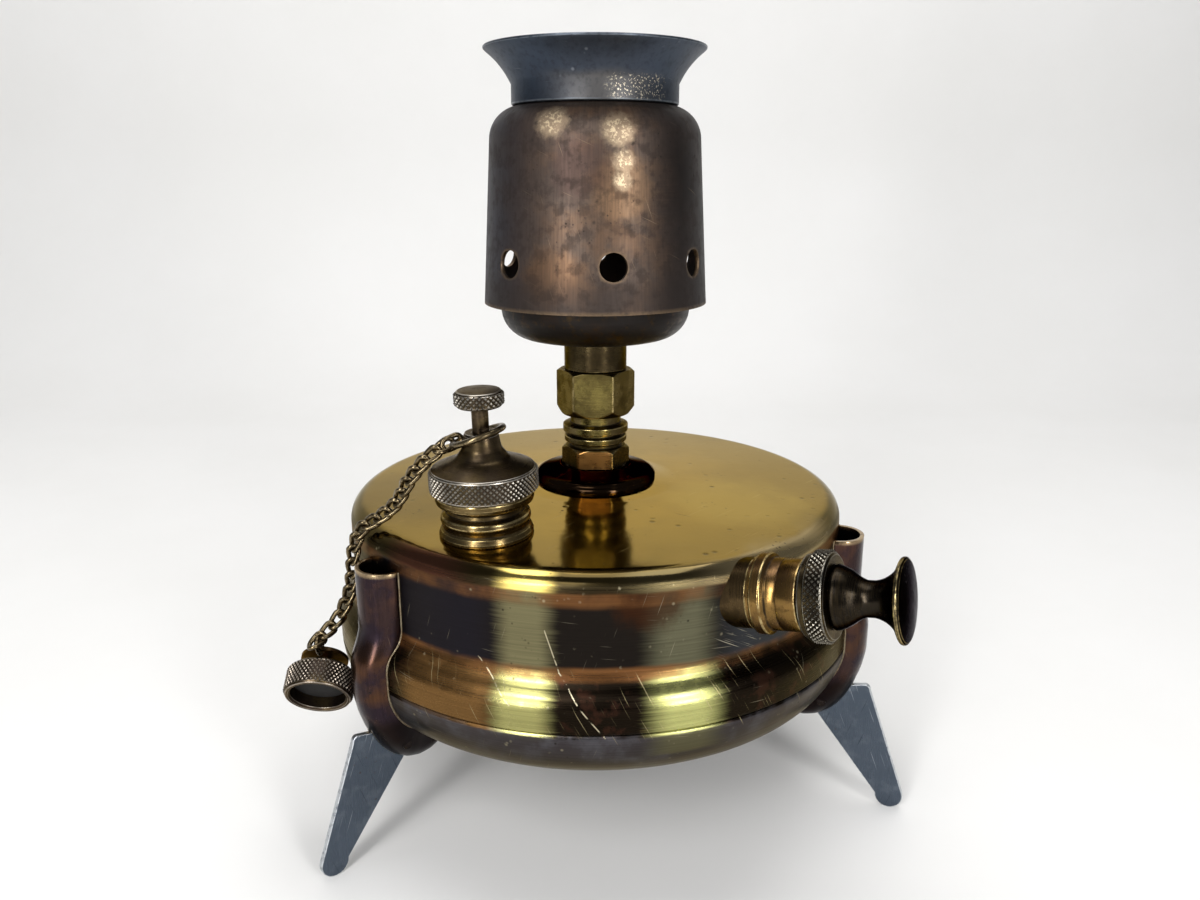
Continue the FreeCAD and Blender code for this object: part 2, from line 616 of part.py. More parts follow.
def tank_bottom_pan():
    body = new_body("tank_bottom_pan")
    turned(body, "Pan", [
        ("0", "pan_low + pan_dish"),
        ("pan_flat * 0.8", "pan_low + pan_dish"),
        ("pan_flat", "pan_low", "pan_corner", RIGHT),
        ("bulge_radius", "seam_height - solder_gap"),
        ("lap_radius", "seam_height - solder_gap"),
        ("lap_radius", "seam_height + lap_length"),
        ("lap_radius - tank_sheet", "seam_height + lap_length"),
        ("lap_radius - tank_sheet", "seam_height - tank_sheet"),
        ("bulge_inside", "seam_height - tank_sheet", "pan_corner - tank_sheet", LEFT),
        ("pan_flat", "pan_low + tank_sheet"),
        ("pan_flat * 0.8", "pan_low + pan_dish + tank_sheet"),
        ("0", "pan_low + pan_dish + tank_sheet"),
    ])
    return body


# ---------------------------------------------------------------- riser

def riser_flange():
    body = new_body("riser_flange")
    turned(body, "Flange", [
        ("crown_hole", "crown_height + solder_gap"),
        ("flange_radius", "flange_low + solder_gap"),
        ("flange_radius", "flange_low + flange_edge", "flange_round", RIGHT),
        ("flange_radius - flange_round * 0.8", "flange_low + flange_edge + flange_round * 0.6",
         "2 * flange_radius", RIGHT),
        ("riser_corner + ring_gap / 2", "flange_top - solder_gap"),
        ("crown_hole", "flange_top - solder_gap"),
    ])
    return body


def riser_fitting():
    body = new_body("riser_fitting")
    turned(body, "Blank", [
        ("riser_bore", "riser_end"),
        ("riser_neck", "riser_end"),
        ("riser_neck", "flange_top"),
        ("riser_corner", "flange_top"),
        ("riser_corner", "riser_hex_top - ring_gap"),
        ("riser_flats / 2", "riser_hex_top"),
        ("riser_thread", "riser_hex_top"),
        ("riser_thread", "low_ring_base"),
        ("low_ring", "low_ring_base + ring_gap / 2"),
        ("low_ring", "low_ring_base + ring_height"),
        ("riser_thread", "low_ring_base + ring_height"),
        ("riser_thread", "high_ring_base"),
        ("high_ring", "high_ring_base"),
        ("high_ring", "high_ring_base + ring_height"),
        ("riser_thread", "high_ring_base + ring_height + ring_gap / 2"),
        ("riser_thread", "nose_height - nose_bevel"),
        ("riser_thread - nose_bevel", "nose_height"),
        ("riser_bore", "nose_height"),
    ])
    flats(body, "RiserFlats", "riser_flats", "flange_top - ring_gap / 4", "riser_hex_top + ring_gap / 4")
    return body


def dip_tube():
    body = new_body("dip_tube")
    turned(body, "Tube", [
        ("dip_bore", "strainer_low + tank_sheet + solder_gap"),
        ("dip_radius", "strainer_low + tank_sheet + solder_gap"),
        ("dip_radius", "riser_end + dip_grip"),
        ("dip_bore", "riser_end + dip_grip"),
    ])
    return body


def fuel_strainer():
    body = new_body("fuel_strainer")
    bore = "dip_radius + solder_gap"
    turned(body, "Thimble", [
        ("0", "strainer_low"),
        ("strainer_radius", "strainer_low"),
        ("strainer_radius", "strainer_low + strainer_height"),
        (bore, "strainer_low + strainer_height"),
        (bore, "strainer_low + tank_sheet"),
        ("0", "strainer_low + tank_sheet"),
    ])
    return body


# ---------------------------------------------------------------- burner

def union_nut():
    body = new_body("union_nut")
    turned(body, "NutBlank", [
        ("nut_bore", "nut_bottom"),
        ("nut_lip", "nut_bottom"),
        ("nut_corner", "nut_flank"),
        ("nut_corner", "nut_top - nut_bevel"),
        ("nut_corner - nut_bevel * 2", "nut_top"),
        ("stem_neck + turning_gap", "nut_top"),
        ("stem_neck + turning_gap", "nut_ceiling"),
        ("nut_bore", "nut_ceiling"),
    ])
    flats(body, "NutFlats", "nut_flats", "nut_bottom - cut_past", "nut_top + cut_past", "nut_turn")
    return body


def burner_stem():
    body = new_body("burner_stem")
    turned(body, "Stem", [
        ("stem_bore", "stem_low"),
        ("stem_collar - nose_bevel", "stem_low"),
        ("stem_collar", "stem_low + nose_bevel"),
        ("stem_collar", "nut_ceiling - turning_gap"),
        ("stem_neck", "nut_ceiling - turning_gap"),
        ("stem_neck", "nut_top + turning_gap"),
        ("stem_radius", "nut_top + turning_gap"),
        ("stem_radius", "cup_bottom"),
        ("spigot_radius", "cup_bottom"),
        ("spigot_radius", "bar_low"),
        ("stem_bore", "bar_low"),
    ])
    return body


def spirit_cup():
    body = new_body("spirit_cup")
    hole = "spigot_radius + solder_gap"
    slant = "cup_radius - cup_foot"
    turned(body, "Cup", [
        (hole, "cup_bottom + solder_gap"),
        ("cup_foot", "cup_bottom + solder_gap", "(%s) * 1.02" % slant, RIGHT),
        ("cup_radius", "cup_bottom + cup_round"),
        ("cup_radius", "cup_bottom + cup_height"),
        ("cup_radius - burner_sheet", "cup_bottom + cup_height"),
        ("cup_radius - burner_sheet", "cup_bottom + cup_round",
         "(%s) * 1.02 - burner_sheet" % slant, LEFT),
        ("cup_foot", "cup_floor"),
        (hole, "cup_floor"),
    ])
    return body


def burner_manifold():
    body = new_body("burner_manifold")
    bore = "spigot_radius + solder_gap"
    turned(body, "Hub", [
        (bore, "hub_low"),
        ("hub_radius", "hub_low"),
        ("hub_radius", "hub_top"),
        ("0", "hub_top"),
        ("0", "bar_low + solder_gap"),
        (bore, "bar_low + solder_gap"),
    ])
    for side, name in ((1, "FrontBar"), (-1, "RearBar")):
        sketch = sketch_on(body, name + "Section", "YZ_Plane")
        near = "%d * tube_bend - bar_width / 2" % side
        far = "%d * tube_bend + bar_width / 2" % side
        outline(sketch, [(near, "bar_low"), (far, "bar_low"), (far, "bar_top"), (near, "bar_top")])
        padded(body, name, sketch, "bar_length", midplane=True)
    turned(body, "SpigotBore", [
        ("0", "hub_low - cut_past"),
        (bore, "hub_low - cut_past"),
        (bore, "bar_low + solder_gap"),
        ("0", "bar_low + solder_gap"),
    ], kind="Groove")
    return body


def vaporizer_tube(label, side):
    """An inverted U: up from the rear bar, over, and down to the front bar."""
    body = new_body(label)
    path = sketch_on(body, "TubePath", "YZ_Plane")
    start = FreeCAD.Vector(-size("tube_bend"), size("bar_top"), 0)
    bend = FreeCAD.Vector(-size("tube_bend"), size("tube_top - tube_radius - tube_bend"), 0)
    over = FreeCAD.Vector(0, size("tube_top - tube_radius"), 0)
    back = FreeCAD.Vector(size("tube_bend"), bend.y, 0)
    end = FreeCAD.Vector(size("tube_bend"), size("bar_top"), 0)
    path.addGeometry(Part.LineSegment(start, bend), False)
    path.addGeometry(Part.Arc(back, over, bend), False)
    path.addGeometry(Part.LineSegment(back, end), False)
    bend_height = "tube_top - tube_radius - tube_bend"
    tie_point(path, 0, 1, "-tube_bend", "bar_top")
    tie_point(path, 0, 2, "-tube_bend", bend_height)
    tie_point(path, 2, 1, "tube_bend", bend_height)
    tie_point(path, 2, 2, "tube_bend", "bar_top")
    path.addConstraint(Sketcher.Constraint("Coincident", 1, 2, 0, 2))
    path.addConstraint(Sketcher.Constraint("Coincident", 1, 1, 2, 1))
    index = path.addConstraint(Sketcher.Constraint("DistanceY", -1, 1, 1, 3, size(bend_height)))
    bind(path, "Constraints[%d]" % index, bend_height)
    section = sketch_on(body, "TubeSection", "XY_Plane", "bar_top")
    circle(section, "0", "-tube_bend", "tube_radius")
    circle(section, "0", "-tube_bend", "tube_bore")
    pipe = body.newObject("PartDesign::AdditivePipe", "Tube")
    pipe.Profile = section
    pipe.Spine = path
    bind(body, "Placement", "placement(vector(%d * tube_spread; 0; 0); rotation(vector(0; 0; 1); 0deg))"
         % side)
    return body


def jet_nipple():
    body = new_body("jet_nipple")
    turned(body, "Nipple", [
        ("jet_bore", "hub_top + solder_gap"),
        ("nipple_flats / 2 / cos(30deg)", "hub_top + solder_gap"),
        ("nipple_flats / 2 / cos(30deg)", "hub_top + nipple_height / 2"),
        ("nipple_flats / 2 * 0.7", "hub_top + nipple_height / 2"),
        ("nipple_flats / 2 * 0.4", "hub_top + nipple_height"),
        ("jet_bore", "hub_top + nipple_height"),
    ])
    flats(body, "NippleFlats", "nipple_flats", "hub_top", "hub_top + nipple_height / 2 + solder_gap")
    return body


def mixing_tube():
    body = new_body("mixing_tube")
    throat = "mixing_low + mixing_bell - mixing_radius"
    flare = "mixing_bell - mixing_radius"
    turned(body, "Venturi", [
        ("mixing_bell - mixing_wall", "mixing_low"),
        ("mixing_bell", "mixing_low", flare, LEFT),
        ("mixing_radius", throat),
        ("mixing_radius", "plate_top"),
        ("mixing_radius - mixing_wall", "plate_top"),
        ("mixing_radius - mixing_wall", throat, "(%s) + mixing_wall" % flare, RIGHT),
    ])
    return body


def burner_plate():
    """A disc with three arms, on which the shroud's lugs rest."""
    body = new_body("burner_plate")
    bore = "mixing_radius + solder_gap"
    turned(body, "Disc", [
        (bore, "plate_low"),
        ("plate_radius", "plate_low"),
        ("plate_radius", "plate_top"),
        (bore, "plate_top"),
    ])
    sketch = sketch_on(body, "ArmOutline", "XY_Plane", "plate_low")
    outline(sketch, [("plate_radius - cut_past", "-arm_width / 2"), ("plate_reach", "-arm_width / 2"),
                     ("plate_reach", "arm_width / 2"), ("plate_radius - cut_past", "arm_width / 2")])
    arm = padded(body, "Arm", sketch, "plate_thickness")
    ring_pattern(body, arm, "Arms", PLATE_ARMS)
    return body


def flame_cap():
    """A thimble with a ring of flame holes."""
    body = new_body("flame_cap")
    low = "plate_top + solder_gap"
    high = "plate_top + flame_cap_height"
    turned(body, "Thimble", [
        ("flame_cap_radius - burner_sheet", low),
        ("flame_cap_radius", low),
        ("flame_cap_radius", high + " - flame_cap_round", "flame_cap_round", RIGHT),
        ("flame_cap_radius - flame_cap_round", high),
        ("0", high + " + flame_cap_dome"),
        ("0", high + " + flame_cap_dome - burner_sheet"),
        ("flame_cap_radius - flame_cap_round", high + " - burner_sheet",
         "flame_cap_round - burner_sheet", LEFT),
        ("flame_cap_radius - burner_sheet", high + " - flame_cap_round"),
    ])
    hole = bored(body, "FlameHole", "flame_hole", "flame_cap_radius",
                 "placement(vector(0; 0; plate_top + flame_cap_height / 2);"
                 " rotation(vector(0; 1; 0); 90deg))")
    ring_pattern(body, hole, "FlameHoles", FLAME_HOLES)
    return body


def draught_shroud():
    body = new_body("draught_shroud")
    turned(body, "ShroudWall", [
        ("shroud_foot", "shroud_low"),
        ("shroud_radius", "shroud_shoulder", "shroud_round", RIGHT),
        ("shroud_ledge", "shroud_high"),
        ("shroud_mouth", "shroud_high"),
        ("shroud_mouth", "shroud_high - burner_sheet"),
        ("shroud_ledge", "shroud_high - burner_sheet", "shroud_round - burner_sheet", LEFT),
        ("shroud_radius - burner_sheet", "shroud_shoulder"),
        ("shroud_foot - burner_sheet", "shroud_low"),
    ])
    sketch = sketch_on(body, "LugOutline", "XY_Plane", "lug_low")
    outer = "plate_reach + arm_gap + burner_sheet / 2"
    outline(sketch, [("%s - lug_reach" % outer, "-arm_width / 3"), (outer, "-arm_width / 3"),
                     (outer, "arm_width / 3"), ("%s - lug_reach" % outer, "arm_width / 3")])
    lug = padded(body, "Lug", sketch, "lug_height")
    ring_pattern(body, lug, "Lugs", PLATE_ARMS)
    for number, angle in enumerate(DRAUGHT_ANGLES, start=1):
        bored(body, "DraughtHole%d" % number, "draught_radius", "2 * shroud_foot",
              leaning(("0", "0", "draught_height"), angle, "0deg"))
    return body


def flame_funnel():
    body = new_body("flame_funnel")
    inner_neck = "funnel_neck - burner_sheet"
    turned(body, "Funnel", [
        ("funnel_spigot - burner_sheet", "spigot_low"),
        ("funnel_spigot", "spigot_low"),
        ("funnel_spigot", "shroud_high + solder_gap"),
        ("funnel_neck", "shroud_high + solder_gap"),
        ("funnel_neck", "neck_top", "funnel_flare", LEFT),
        ("funnel_lip - burner_sheet / 2", "funnel_top - burner_sheet"),
        ("funnel_lip", "funnel_top - burner_sheet / 2"),
        ("funnel_lip", "funnel_top"),
        ("funnel_lip - 1.5 * burner_sheet", "funnel_top", "funnel_flare - burner_sheet", RIGHT),
        (inner_neck, "neck_top + burner_sheet / 4"),
        (inner_neck, "shroud_high + burner_sheet"),
        ("funnel_spigot - burner_sheet", "shroud_high + burner_sheet"),
    ])
    return body


# ---------------------------------------------------------------- filler

def filler_collar():
    body = new_body("filler_collar")
    groove = "collar_radius - collar_groove"
    band = "collar_height / 5"
    corners = [("collar_bore", "filler_depth - 3 * tank_sheet"),
               ("collar_spigot", "filler_depth - 3 * tank_sheet"),
               ("collar_spigot", "filler_depth + solder_gap")]
    for level in range(5):
        radius = groove if level % 2 else "collar_radius"
        corners.append((radius, "filler_depth + solder_gap + %d * %s" % (level, band)))
        corners.append((radius, "filler_depth + solder_gap + %d * %s - %s" % (
            level + 1, band, "2 * solder_gap" if level == 4 else "0")))
    corners.append(("collar_bore", "collar_top - solder_gap"))
    turned(body, "Collar", corners)
    bind(body, "Placement", FILLER_FRAME)
    return body


def filler_seal():
    body = new_body("filler_seal")
    turned(body, "Washer", [
        ("collar_bore + turning_gap", "cap_low"),
        ("collar_radius - fine_bevel", "cap_low"),
        ("collar_radius - fine_bevel", "cap_low + seal_thickness"),
        ("collar_bore + turning_gap", "cap_low + seal_thickness"),
    ])
    bind(body, "Placement", FILLER_FRAME)
    return body


def filler_cap():
    body = new_body("filler_cap")
    plug = "collar_bore - turning_gap"
    recess = "cap_low + seal_thickness + solder_gap"
    turned(body, "Cap", [
        ("screw_bore", "cap_low - cap_plug"),
        (plug + " - edge_bevel", "cap_low - cap_plug"),
        (plug, "cap_low - cap_plug + edge_bevel"),
        (plug, recess),
        ("collar_radius", recess),
        ("collar_radius", "cap_low"),
        ("cap_radius - fine_bevel", "cap_low"),
        ("cap_radius", "cap_low + fine_bevel"),
        ("cap_radius", "cap_rim_top - edge_bevel"),
        ("cap_radius - edge_bevel", "cap_rim_top", "3 * cap_radius", RIGHT),
        ("cap_neck_foot", "cap_cone_top"),
        ("cap_neck_top + edge_bevel", "cap_cone_top + 2 * edge_bevel"),
        ("cap_neck_top", "cap_top"),
        ("screw_bore", "cap_top"),
    ])
    bind(body, "Placement", FILLER_FRAME)
    return body


def air_screw():
    body = new_body("air_screw")
    head_top = "screw_head_low + screw_head_height"
    turned(body, "Screw", [
        ("0", "cap_low - cap_plug - screw_tip"),
        ("screw_radius", "cap_low - cap_plug"),
        ("screw_radius", "screw_head_low"),
        ("screw_head - edge_bevel", "screw_head_low"),
        ("screw_head", "screw_head_low + edge_bevel"),
        ("screw_head", head_top + " - broad_bevel"),
        ("screw_head - broad_bevel", head_top, "3 * screw_head", RIGHT),
        ("crown_flat", head_top + " + fine_bevel"),
        ("0", head_top + " + fine_bevel"),
    ])
    bind(body, "Placement", FILLER_FRAME)
    return body


def neck_ring():
    """A wire ring that hangs round the filler cap's neck and carries the chain."""
    torus = doc.addObject("Part::Torus", "neck_ring")
    torus.Label = "neck_ring"
    bind(torus, "Radius1", "ring_reach")
    bind(torus, "Radius2", "ring_wire")
    bind(torus, "Placement", ring_frame())
    return torus


def ring_frame():
    local = ("placement(vector(ring_shift * sin(ring_azimuth * 1deg);"
             " -ring_shift * cos(ring_azimuth * 1deg); ring_level);"
             " rotation(vector(cos(ring_azimuth * 1deg); sin(ring_azimuth * 1deg); 0); ring_tilt * 1deg))")
    return "(%s) * (%s)" % (FILLER_FRAME, local)


# ---------------------------------------------------------------- chain and blanking cap

def frame_of(text):
    """The placement that a frame's expression gives."""
    return sheet.evalExpression(formula(text))


def ring_low_side():
    """The lowest point of the neck ring's wire, and the wire's direction there."""
    ring = frame_of(ring_frame())
    side = math.radians(size("ring_azimuth"))
    low = FreeCAD.Vector(math.sin(side), -math.cos(side), 0)
    return ring.multVec(low * size("ring_reach")), ring.Rotation.multVec(FreeCAD.Vector(0, 0, 1).cross(low))


def chain_points(ring, eye):
    """The chain's way over the tank's shoulder, between its two end links."""
    wall = size("tank_radius")
    top = size("shoulder_height")
    points = []
    for held, shares in [(ring, RING_WAY), (eye, EYE_WAY)]:
        for out, turn, up in shares:
            reach = wall + out * (math.hypot(held.x, held.y) - wall)
            angle = math.radians(size("filler_azimuth + (blank_azimuth - filler_azimuth) * %s" % turn))
            height = top + up * (held.z - top)
            points.append(FreeCAD.Vector(reach * math.sin(angle), -reach * math.cos(angle), height))
    return points


def eye_in_cap():
    """The chain's eye in the blanking cap's frame."""
    side = math.radians(size("blank_turn"))
    level = size("blank_height + swivel_gap + swivel_plate / 2")
    place = size("eye_place")
    return FreeCAD.Vector(-place * math.sin(side), place * math.cos(side), level)


def along(route, distance):
    """The point at a distance along a route, and the direction there."""
    for start, end in zip(route, route[1:]):
        step = (end - start).Length
        if distance <= step:
            return start + (end - start) * (distance / step), (end - start).normalize()
        distance -= step
    return route[-1], (route[-1] - route[-2]).normalize()


def chain_link(length, width):
    """One link, along X: two straight sides and two half rounds of round wire."""
    wire = size("link_wire")
    bend = width / 2 - wire
    straight = length / 2 - wire - bend
    corner = [FreeCAD.Vector(x, y, 0) for x, y in (
        (-straight, bend), (straight, bend), (straight, -bend), (-straight, -bend))]
    tips = [FreeCAD.Vector(straight + bend, 0, 0), FreeCAD.Vector(-straight - bend, 0, 0)]
    path = Part.Wire([
        Part.LineSegment(corner[0], corner[1]).toShape(),
        Part.Arc(corner[1], tips[0], corner[2]).toShape(),
        Part.LineSegment(corner[2], corner[3]).toShape(),
        Part.Arc(corner[3], tips[1], corner[0]).toShape(),
    ])
    middle = FreeCAD.Vector(0, bend, 0)
    section = Part.Wire(Part.Circle(middle, FreeCAD.Vector(1, 0, 0), wire).toShape())
    sweep = path.makePipeShell([section], True, False)
    return sweep if isinstance(sweep, Part.Solid) else Part.Solid(sweep)


def end_link(held, held_wire, across, direction):
    """A larger link round a wire, or in an eye, at held: its other end lies in a direction from it."""
    length = size("end_link_length")
    width = size("end_link_width")
    wire = size("link_wire")
    slack = 0
    if held_wire:
        seat = held_wire + wire + size("solder_gap")
        held = held + across * (width / 2 - wire - seat)
        slack = seat + size("ring_wire")
    link = chain_link(length, width)
    turn = FreeCAD.Rotation(direction, FreeCAD.Vector(0, 0, 0), direction.cross(across), "XZY")
    link.Placement = FreeCAD.Placement(held + direction * (length / 2 - wire - slack), turn)
    far = held + direction * (length - 3 * wire - slack - size("solder_gap") / 2)
    return link, far


def chain_links():
    """A chain of links, each turned the other way about the chain than the one before."""
    ring, ring_way = ring_low_side()
    cap = frame_of(BLANK_FRAME)
    eye = cap.multVec(eye_in_cap())
    points = chain_points(ring, eye)
    away = (points[0] - ring).normalize()
    above = ring_way.cross(away).normalize()
    first, start = end_link(ring, size("ring_wire"), above if above.z > 0 else above * -1, away)
    outwards = cap.Rotation.multVec(eye_in_cap() - FreeCAD.Vector(0, 0, eye_in_cap().z)).normalize()
    last, end = end_link(eye, 0, cap.Rotation.multVec(FreeCAD.Vector(0, 0, 1)), outwards)
    route = [start] + points + [end]
    total = sum((end - start).Length for start, end in zip(route, route[1:]))
    pitch = size("link_length - 4 * link_wire - solder_gap")
    count = int(round(total / pitch))
    link = chain_link(size("link_length"), size("link_width"))
    links = [first, last]
    for number in range(count):
        place, direction = along(route, total * (number + 0.5) / count)
        turn = FreeCAD.Rotation(FreeCAD.Vector(1, 0, 0), direction)
        side = 1 if number % 2 else -1
        twist = FreeCAD.Rotation(FreeCAD.Vector(1, 0, 0), side * size("link_twist"))
        piece = link.copy()
        piece.Placement = FreeCAD.Placement(place, turn.multiply(twist))
        links.append(piece)
    feature = doc.addObject("Part::Feature", "chain_links")
    feature.Label = "chain_links"
    feature.Shape = Part.makeCompound(links)
    return feature


def blanking_cap():
    body = new_body("blanking_cap")
    roof = "blank_height - blank_roof"
    turned(body, "Thimble", [
        ("blank_bore + edge_bevel", "0"),
        ("blank_radius - blank_bevel / 2", "0"),
        ("blank_radius", "blank_bevel / 2"),
        ("blank_radius", "blank_height - blank_bevel"),
        ("blank_radius - blank_bevel", "blank_height"),
        ("stud_radius + solder_gap", "blank_height"),
        ("stud_radius + solder_gap", "blank_height - stud_grip"),
        ("0", "blank_height - stud_grip"),
        ("0", roof),
        ("blank_bore", roof),
        ("blank_bore", "edge_bevel"),
    ])
    bind(body, "Placement", BLANK_FRAME)
    return body


def blanking_seal():
    body = new_body("blanking_seal")
    roof = "blank_height - blank_roof"
    turned(body, "Disc", [
        ("0", roof + " - solder_gap - blank_seal"),
        ("blank_bore - solder_gap", roof + " - solder_gap - blank_seal"),
        ("blank_bore - solder_gap", roof + " - solder_gap"),
        ("0", roof + " - solder_gap"),
    ])
    bind(body, "Placement", BLANK_FRAME)
    return body


def cap_stud():
    body = new_body("cap_stud")
    low = "blank_height - stud_grip + solder_gap"
    plate_top = "blank_height + swivel_gap + swivel_plate + swivel_play"
    turned(body, "Stud", [
        ("0", low),
        ("stud_radius", low),
        ("stud_radius", plate_top),
        ("stud_head", plate_top),
        ("stud_head", plate_top + " + fine_bevel", "stud_head * 1.3", RIGHT),
        ("crown_flat", plate_top + " + stud_head_height"),
        ("0", plate_top + " + stud_head_height"),
    ])
    bind(body, "Placement", BLANK_FRAME)
    return body


def swivel_ring():
    """A thin plate that turns on the stud, with an eye for the chain."""
    body = new_body("swivel_ring")
    low = "blank_height + swivel_gap"
    turned(body, "Plate", [
        ("stud_radius + turning_gap", low),
        ("swivel_radius", low),
        ("swivel_radius", low + " + swivel_plate"),
        ("stud_radius + turning_gap", low + " + swivel_plate"),
    ])
    place = eye_place_text()
    bored(body, "Eye", "eye_radius", "swivel_plate + 2 * cut_past",
          "placement(vector(%s; %s; %s - cut_past); rotation(vector(0; 0; 1); 0deg))" % (place + (low,)))
    bind(body, "Placement", BLANK_FRAME)
    return body


def eye_place_text():
    return ("-eye_place * sin(blank_turn * 1deg)", "eye_place * cos(blank_turn * 1deg)")


# ---------------------------------------------------------------- pump

def pump_piece(label, name, corners):
    body = new_body(label)
    turned(body, name, corners)
    bind(body, "Placement", PUMP_FRAME)
    return body


def pump_boss():
    ring_low = "pump_length - boss_ring_back"
    ring_high = "pump_length - boss_ring_back + boss_ring_width"
    return pump_piece("pump_boss", "Boss", [
        ("boss_bore", "pump_length - boss_inner"),
        ("boss_radius", "pump_length - boss_inner"),
        ("boss_radius", ring_low),
        ("boss_ring", ring_low),
        ("boss_ring", ring_high + " - broad_bevel"),
        ("boss_ring - broad_bevel", ring_high),
        ("boss_radius", ring_high),
        ("boss_radius", "boss_end"),
        ("boss_bore", "boss_end"),
    ])


def pump_tube():
    return pump_piece("pump_tube", "Barrel", [
        ("pump_bore", "valve_length - valve_seat"),
        ("pump_radius", "valve_length - valve_seat"),
        ("pump_radius", "pump_cap_end - pump_cap_roof - turning_gap"),
        ("pump_bore", "pump_cap_end - pump_cap_roof - turning_gap"),
    ])


def pump_cap():
    bore = "pump_radius + turning_gap"
    return pump_piece("pump_cap", "Cap", [
        (bore, "pump_cap_low"),
        ("pump_cap_small", "pump_cap_low"),
        ("pump_cap_small", "pump_cap_low + pump_cap_step"),
        ("pump_cap_radius", "pump_cap_low + pump_cap_step + broad_bevel / 2"),
        ("pump_cap_radius", "pump_cap_end - broad_bevel"),
        ("pump_cap_radius - broad_bevel", "pump_cap_end"),
        ("rod_radius + turning_gap", "pump_cap_end"),
        ("rod_radius + turning_gap", "pump_cap_end - pump_cap_roof"),
        (bore, "pump_cap_end - pump_cap_roof"),
    ])


def pump_knob():
    neck_start = "knob_low + knob_dome"
    flare_start = "knob_end - knob_crown - knob_rim - knob_flare"
    disc_low = "knob_end - knob_crown - knob_rim"
    drop = "(knob_base - knob_neck)"
    climb = "(knob_radius - knob_neck)"
    return pump_piece("pump_knob", "Knob", [
        ("rod_radius + solder_gap", "knob_low"),
        ("knob_base - fine_bevel", "knob_low"),
        ("knob_base", "knob_low + edge_bevel", "knob_dome * 1.5", RIGHT),
        ("knob_neck + %s / 3" % drop, "knob_low + knob_dome * 0.7", "knob_dome", LEFT),
        ("knob_neck", neck_start),
        ("knob_neck", flare_start, "knob_flare * 1.3", LEFT),
        ("knob_neck + %s * 0.55" % climb, disc_low + " - knob_rim * 0.6"),
        ("knob_radius", disc_low + " + knob_rim * 0.4"),
        ("knob_radius", "knob_end - knob_crown - fine_bevel"),
        ("knob_radius - fine_bevel", "knob_end - knob_crown", "6 * knob_radius", RIGHT),
        ("crown_flat", "knob_end"),
        ("0", "knob_end"),
        ("0", "rod_end + solder_gap"),
        ("rod_radius + solder_gap", "rod_end + solder_gap"),
    ])


def pump_rod():
    return pump_piece("pump_rod", "Rod", [
        ("0", "rod_low"),
        ("rod_radius", "rod_low"),
        ("rod_radius", "rod_end"),
        ("0", "rod_end"),
    ])


def pump_leather():
    """A cup leather: its wall faces the valve."""
    wall_inside = "leather_radius - leather_wall"
    return pump_piece("pump_leather", "Leather", [
        ("rod_radius + solder_gap", "leather_end - leather_wall"),
        (wall_inside, "leather_end - leather_wall"),
        (wall_inside, "leather_place"),
        ("leather_radius", "leather_place"),
        ("leather_radius", "leather_end - leather_wall", "leather_wall", RIGHT),
        ("leather_radius - leather_wall", "leather_end"),
        ("rod_radius + solder_gap", "leather_end"),
    ])


def leather_washers():
    """A washer on each side of the leather's web."""
    bore = "rod_radius + solder_gap"
    web = "leather_end - leather_wall"
    body = new_body("leather_washers")
    turned(body, "Washer", [
        (bore, web + " - solder_gap - washer_thickness"),
        ("washer_radius", web + " - solder_gap - washer_thickness"),
        ("washer_radius", web + " - solder_gap"),
        (bore, web + " - solder_gap"),
    ])
    bind(body, "Placement", PUMP_FRAME)
    return body


def backing_washer():
    bore = "rod_radius + solder_gap"
    return pump_piece("backing_washer", "Washer", [
        (bore, "leather_end + solder_gap"),
        ("backing_radius", "leather_end + solder_gap"),
        ("backing_radius", "leather_end + solder_gap + washer_thickness"),
        (bore, "leather_end + solder_gap + washer_thickness"),
    ])


def leather_nut():
    body = new_body("leather_nut")
    high = "leather_end - leather_wall - 2 * solder_gap - washer_thickness"
    low = high + " - leather_nut_height"
    turned(body, "NutBlank", [
        ("rod_radius + solder_gap", low),
        ("leather_nut / cos(30deg)", low),
        ("leather_nut / cos(30deg)", high),
        ("rod_radius + solder_gap", high),
    ])
    flats(body, "NutFlats", "2 * leather_nut", low + " - solder_gap", high + " + solder_gap")
    bind(body, "Placement", PUMP_FRAME)
    return body


def coil(label, radius, wire, pitch, turns, low, frame):
    """A round-wire spring about its frame's Z axis, from the height low."""
    helix = Part.makeHelix(size(pitch), size(pitch) * size(turns), size(radius))
    start = FreeCAD.Vector(size(radius), 0, 0)
    section = Part.Wire(Part.Circle(start, FreeCAD.Vector(0, 1, 0), size(wire)).toShape())
    shape = helix.makePipeShell([section], True, True)
    shape = shape if isinstance(shape, Part.Solid) else Part.Solid(shape)
    shape.translate(FreeCAD.Vector(0, 0, size(low)))
    feature = doc.addObject("Part::Feature", label)
    feature.Label = label
    feature.Shape = shape
    feature.Placement = frame_of(frame).multiply(feature.Placement)
    return feature


def pump_spring():
    return coil("pump_spring", "spring_radius", "spring_wire", "spring_pitch", "spring_turns",
                "spring_high - spring_pitch * spring_turns", PUMP_FRAME)


# ---------------------------------------------------------------- non-return valve

def valve_body():
    return pump_piece("valve_body", "Valve", [
        ("valve_port", "0"),
        ("pump_radius", "0"),
        ("pump_radius", "seat_low - solder_gap"),
        ("pump_bore - solder_gap", "seat_low - solder_gap"),
        ("pump_bore - solder_gap", "valve_length"),
        ("valve_port", "valve_length"),
        ("valve_port", "seat_low"),
        ("valve_chamber", "seat_low"),
        ("valve_chamber", "valve_floor"),
        ("valve_port", "valve_floor"),
    ])


def valve_pip():
    return pump_piece("valve_pip", "Pip", [
        ("0", "pip_low"),
        ("pip_radius", "pip_low"),
        ("pip_radius", "pip_low + pip_height"),
        ("0", "pip_low + pip_height"),
    ])


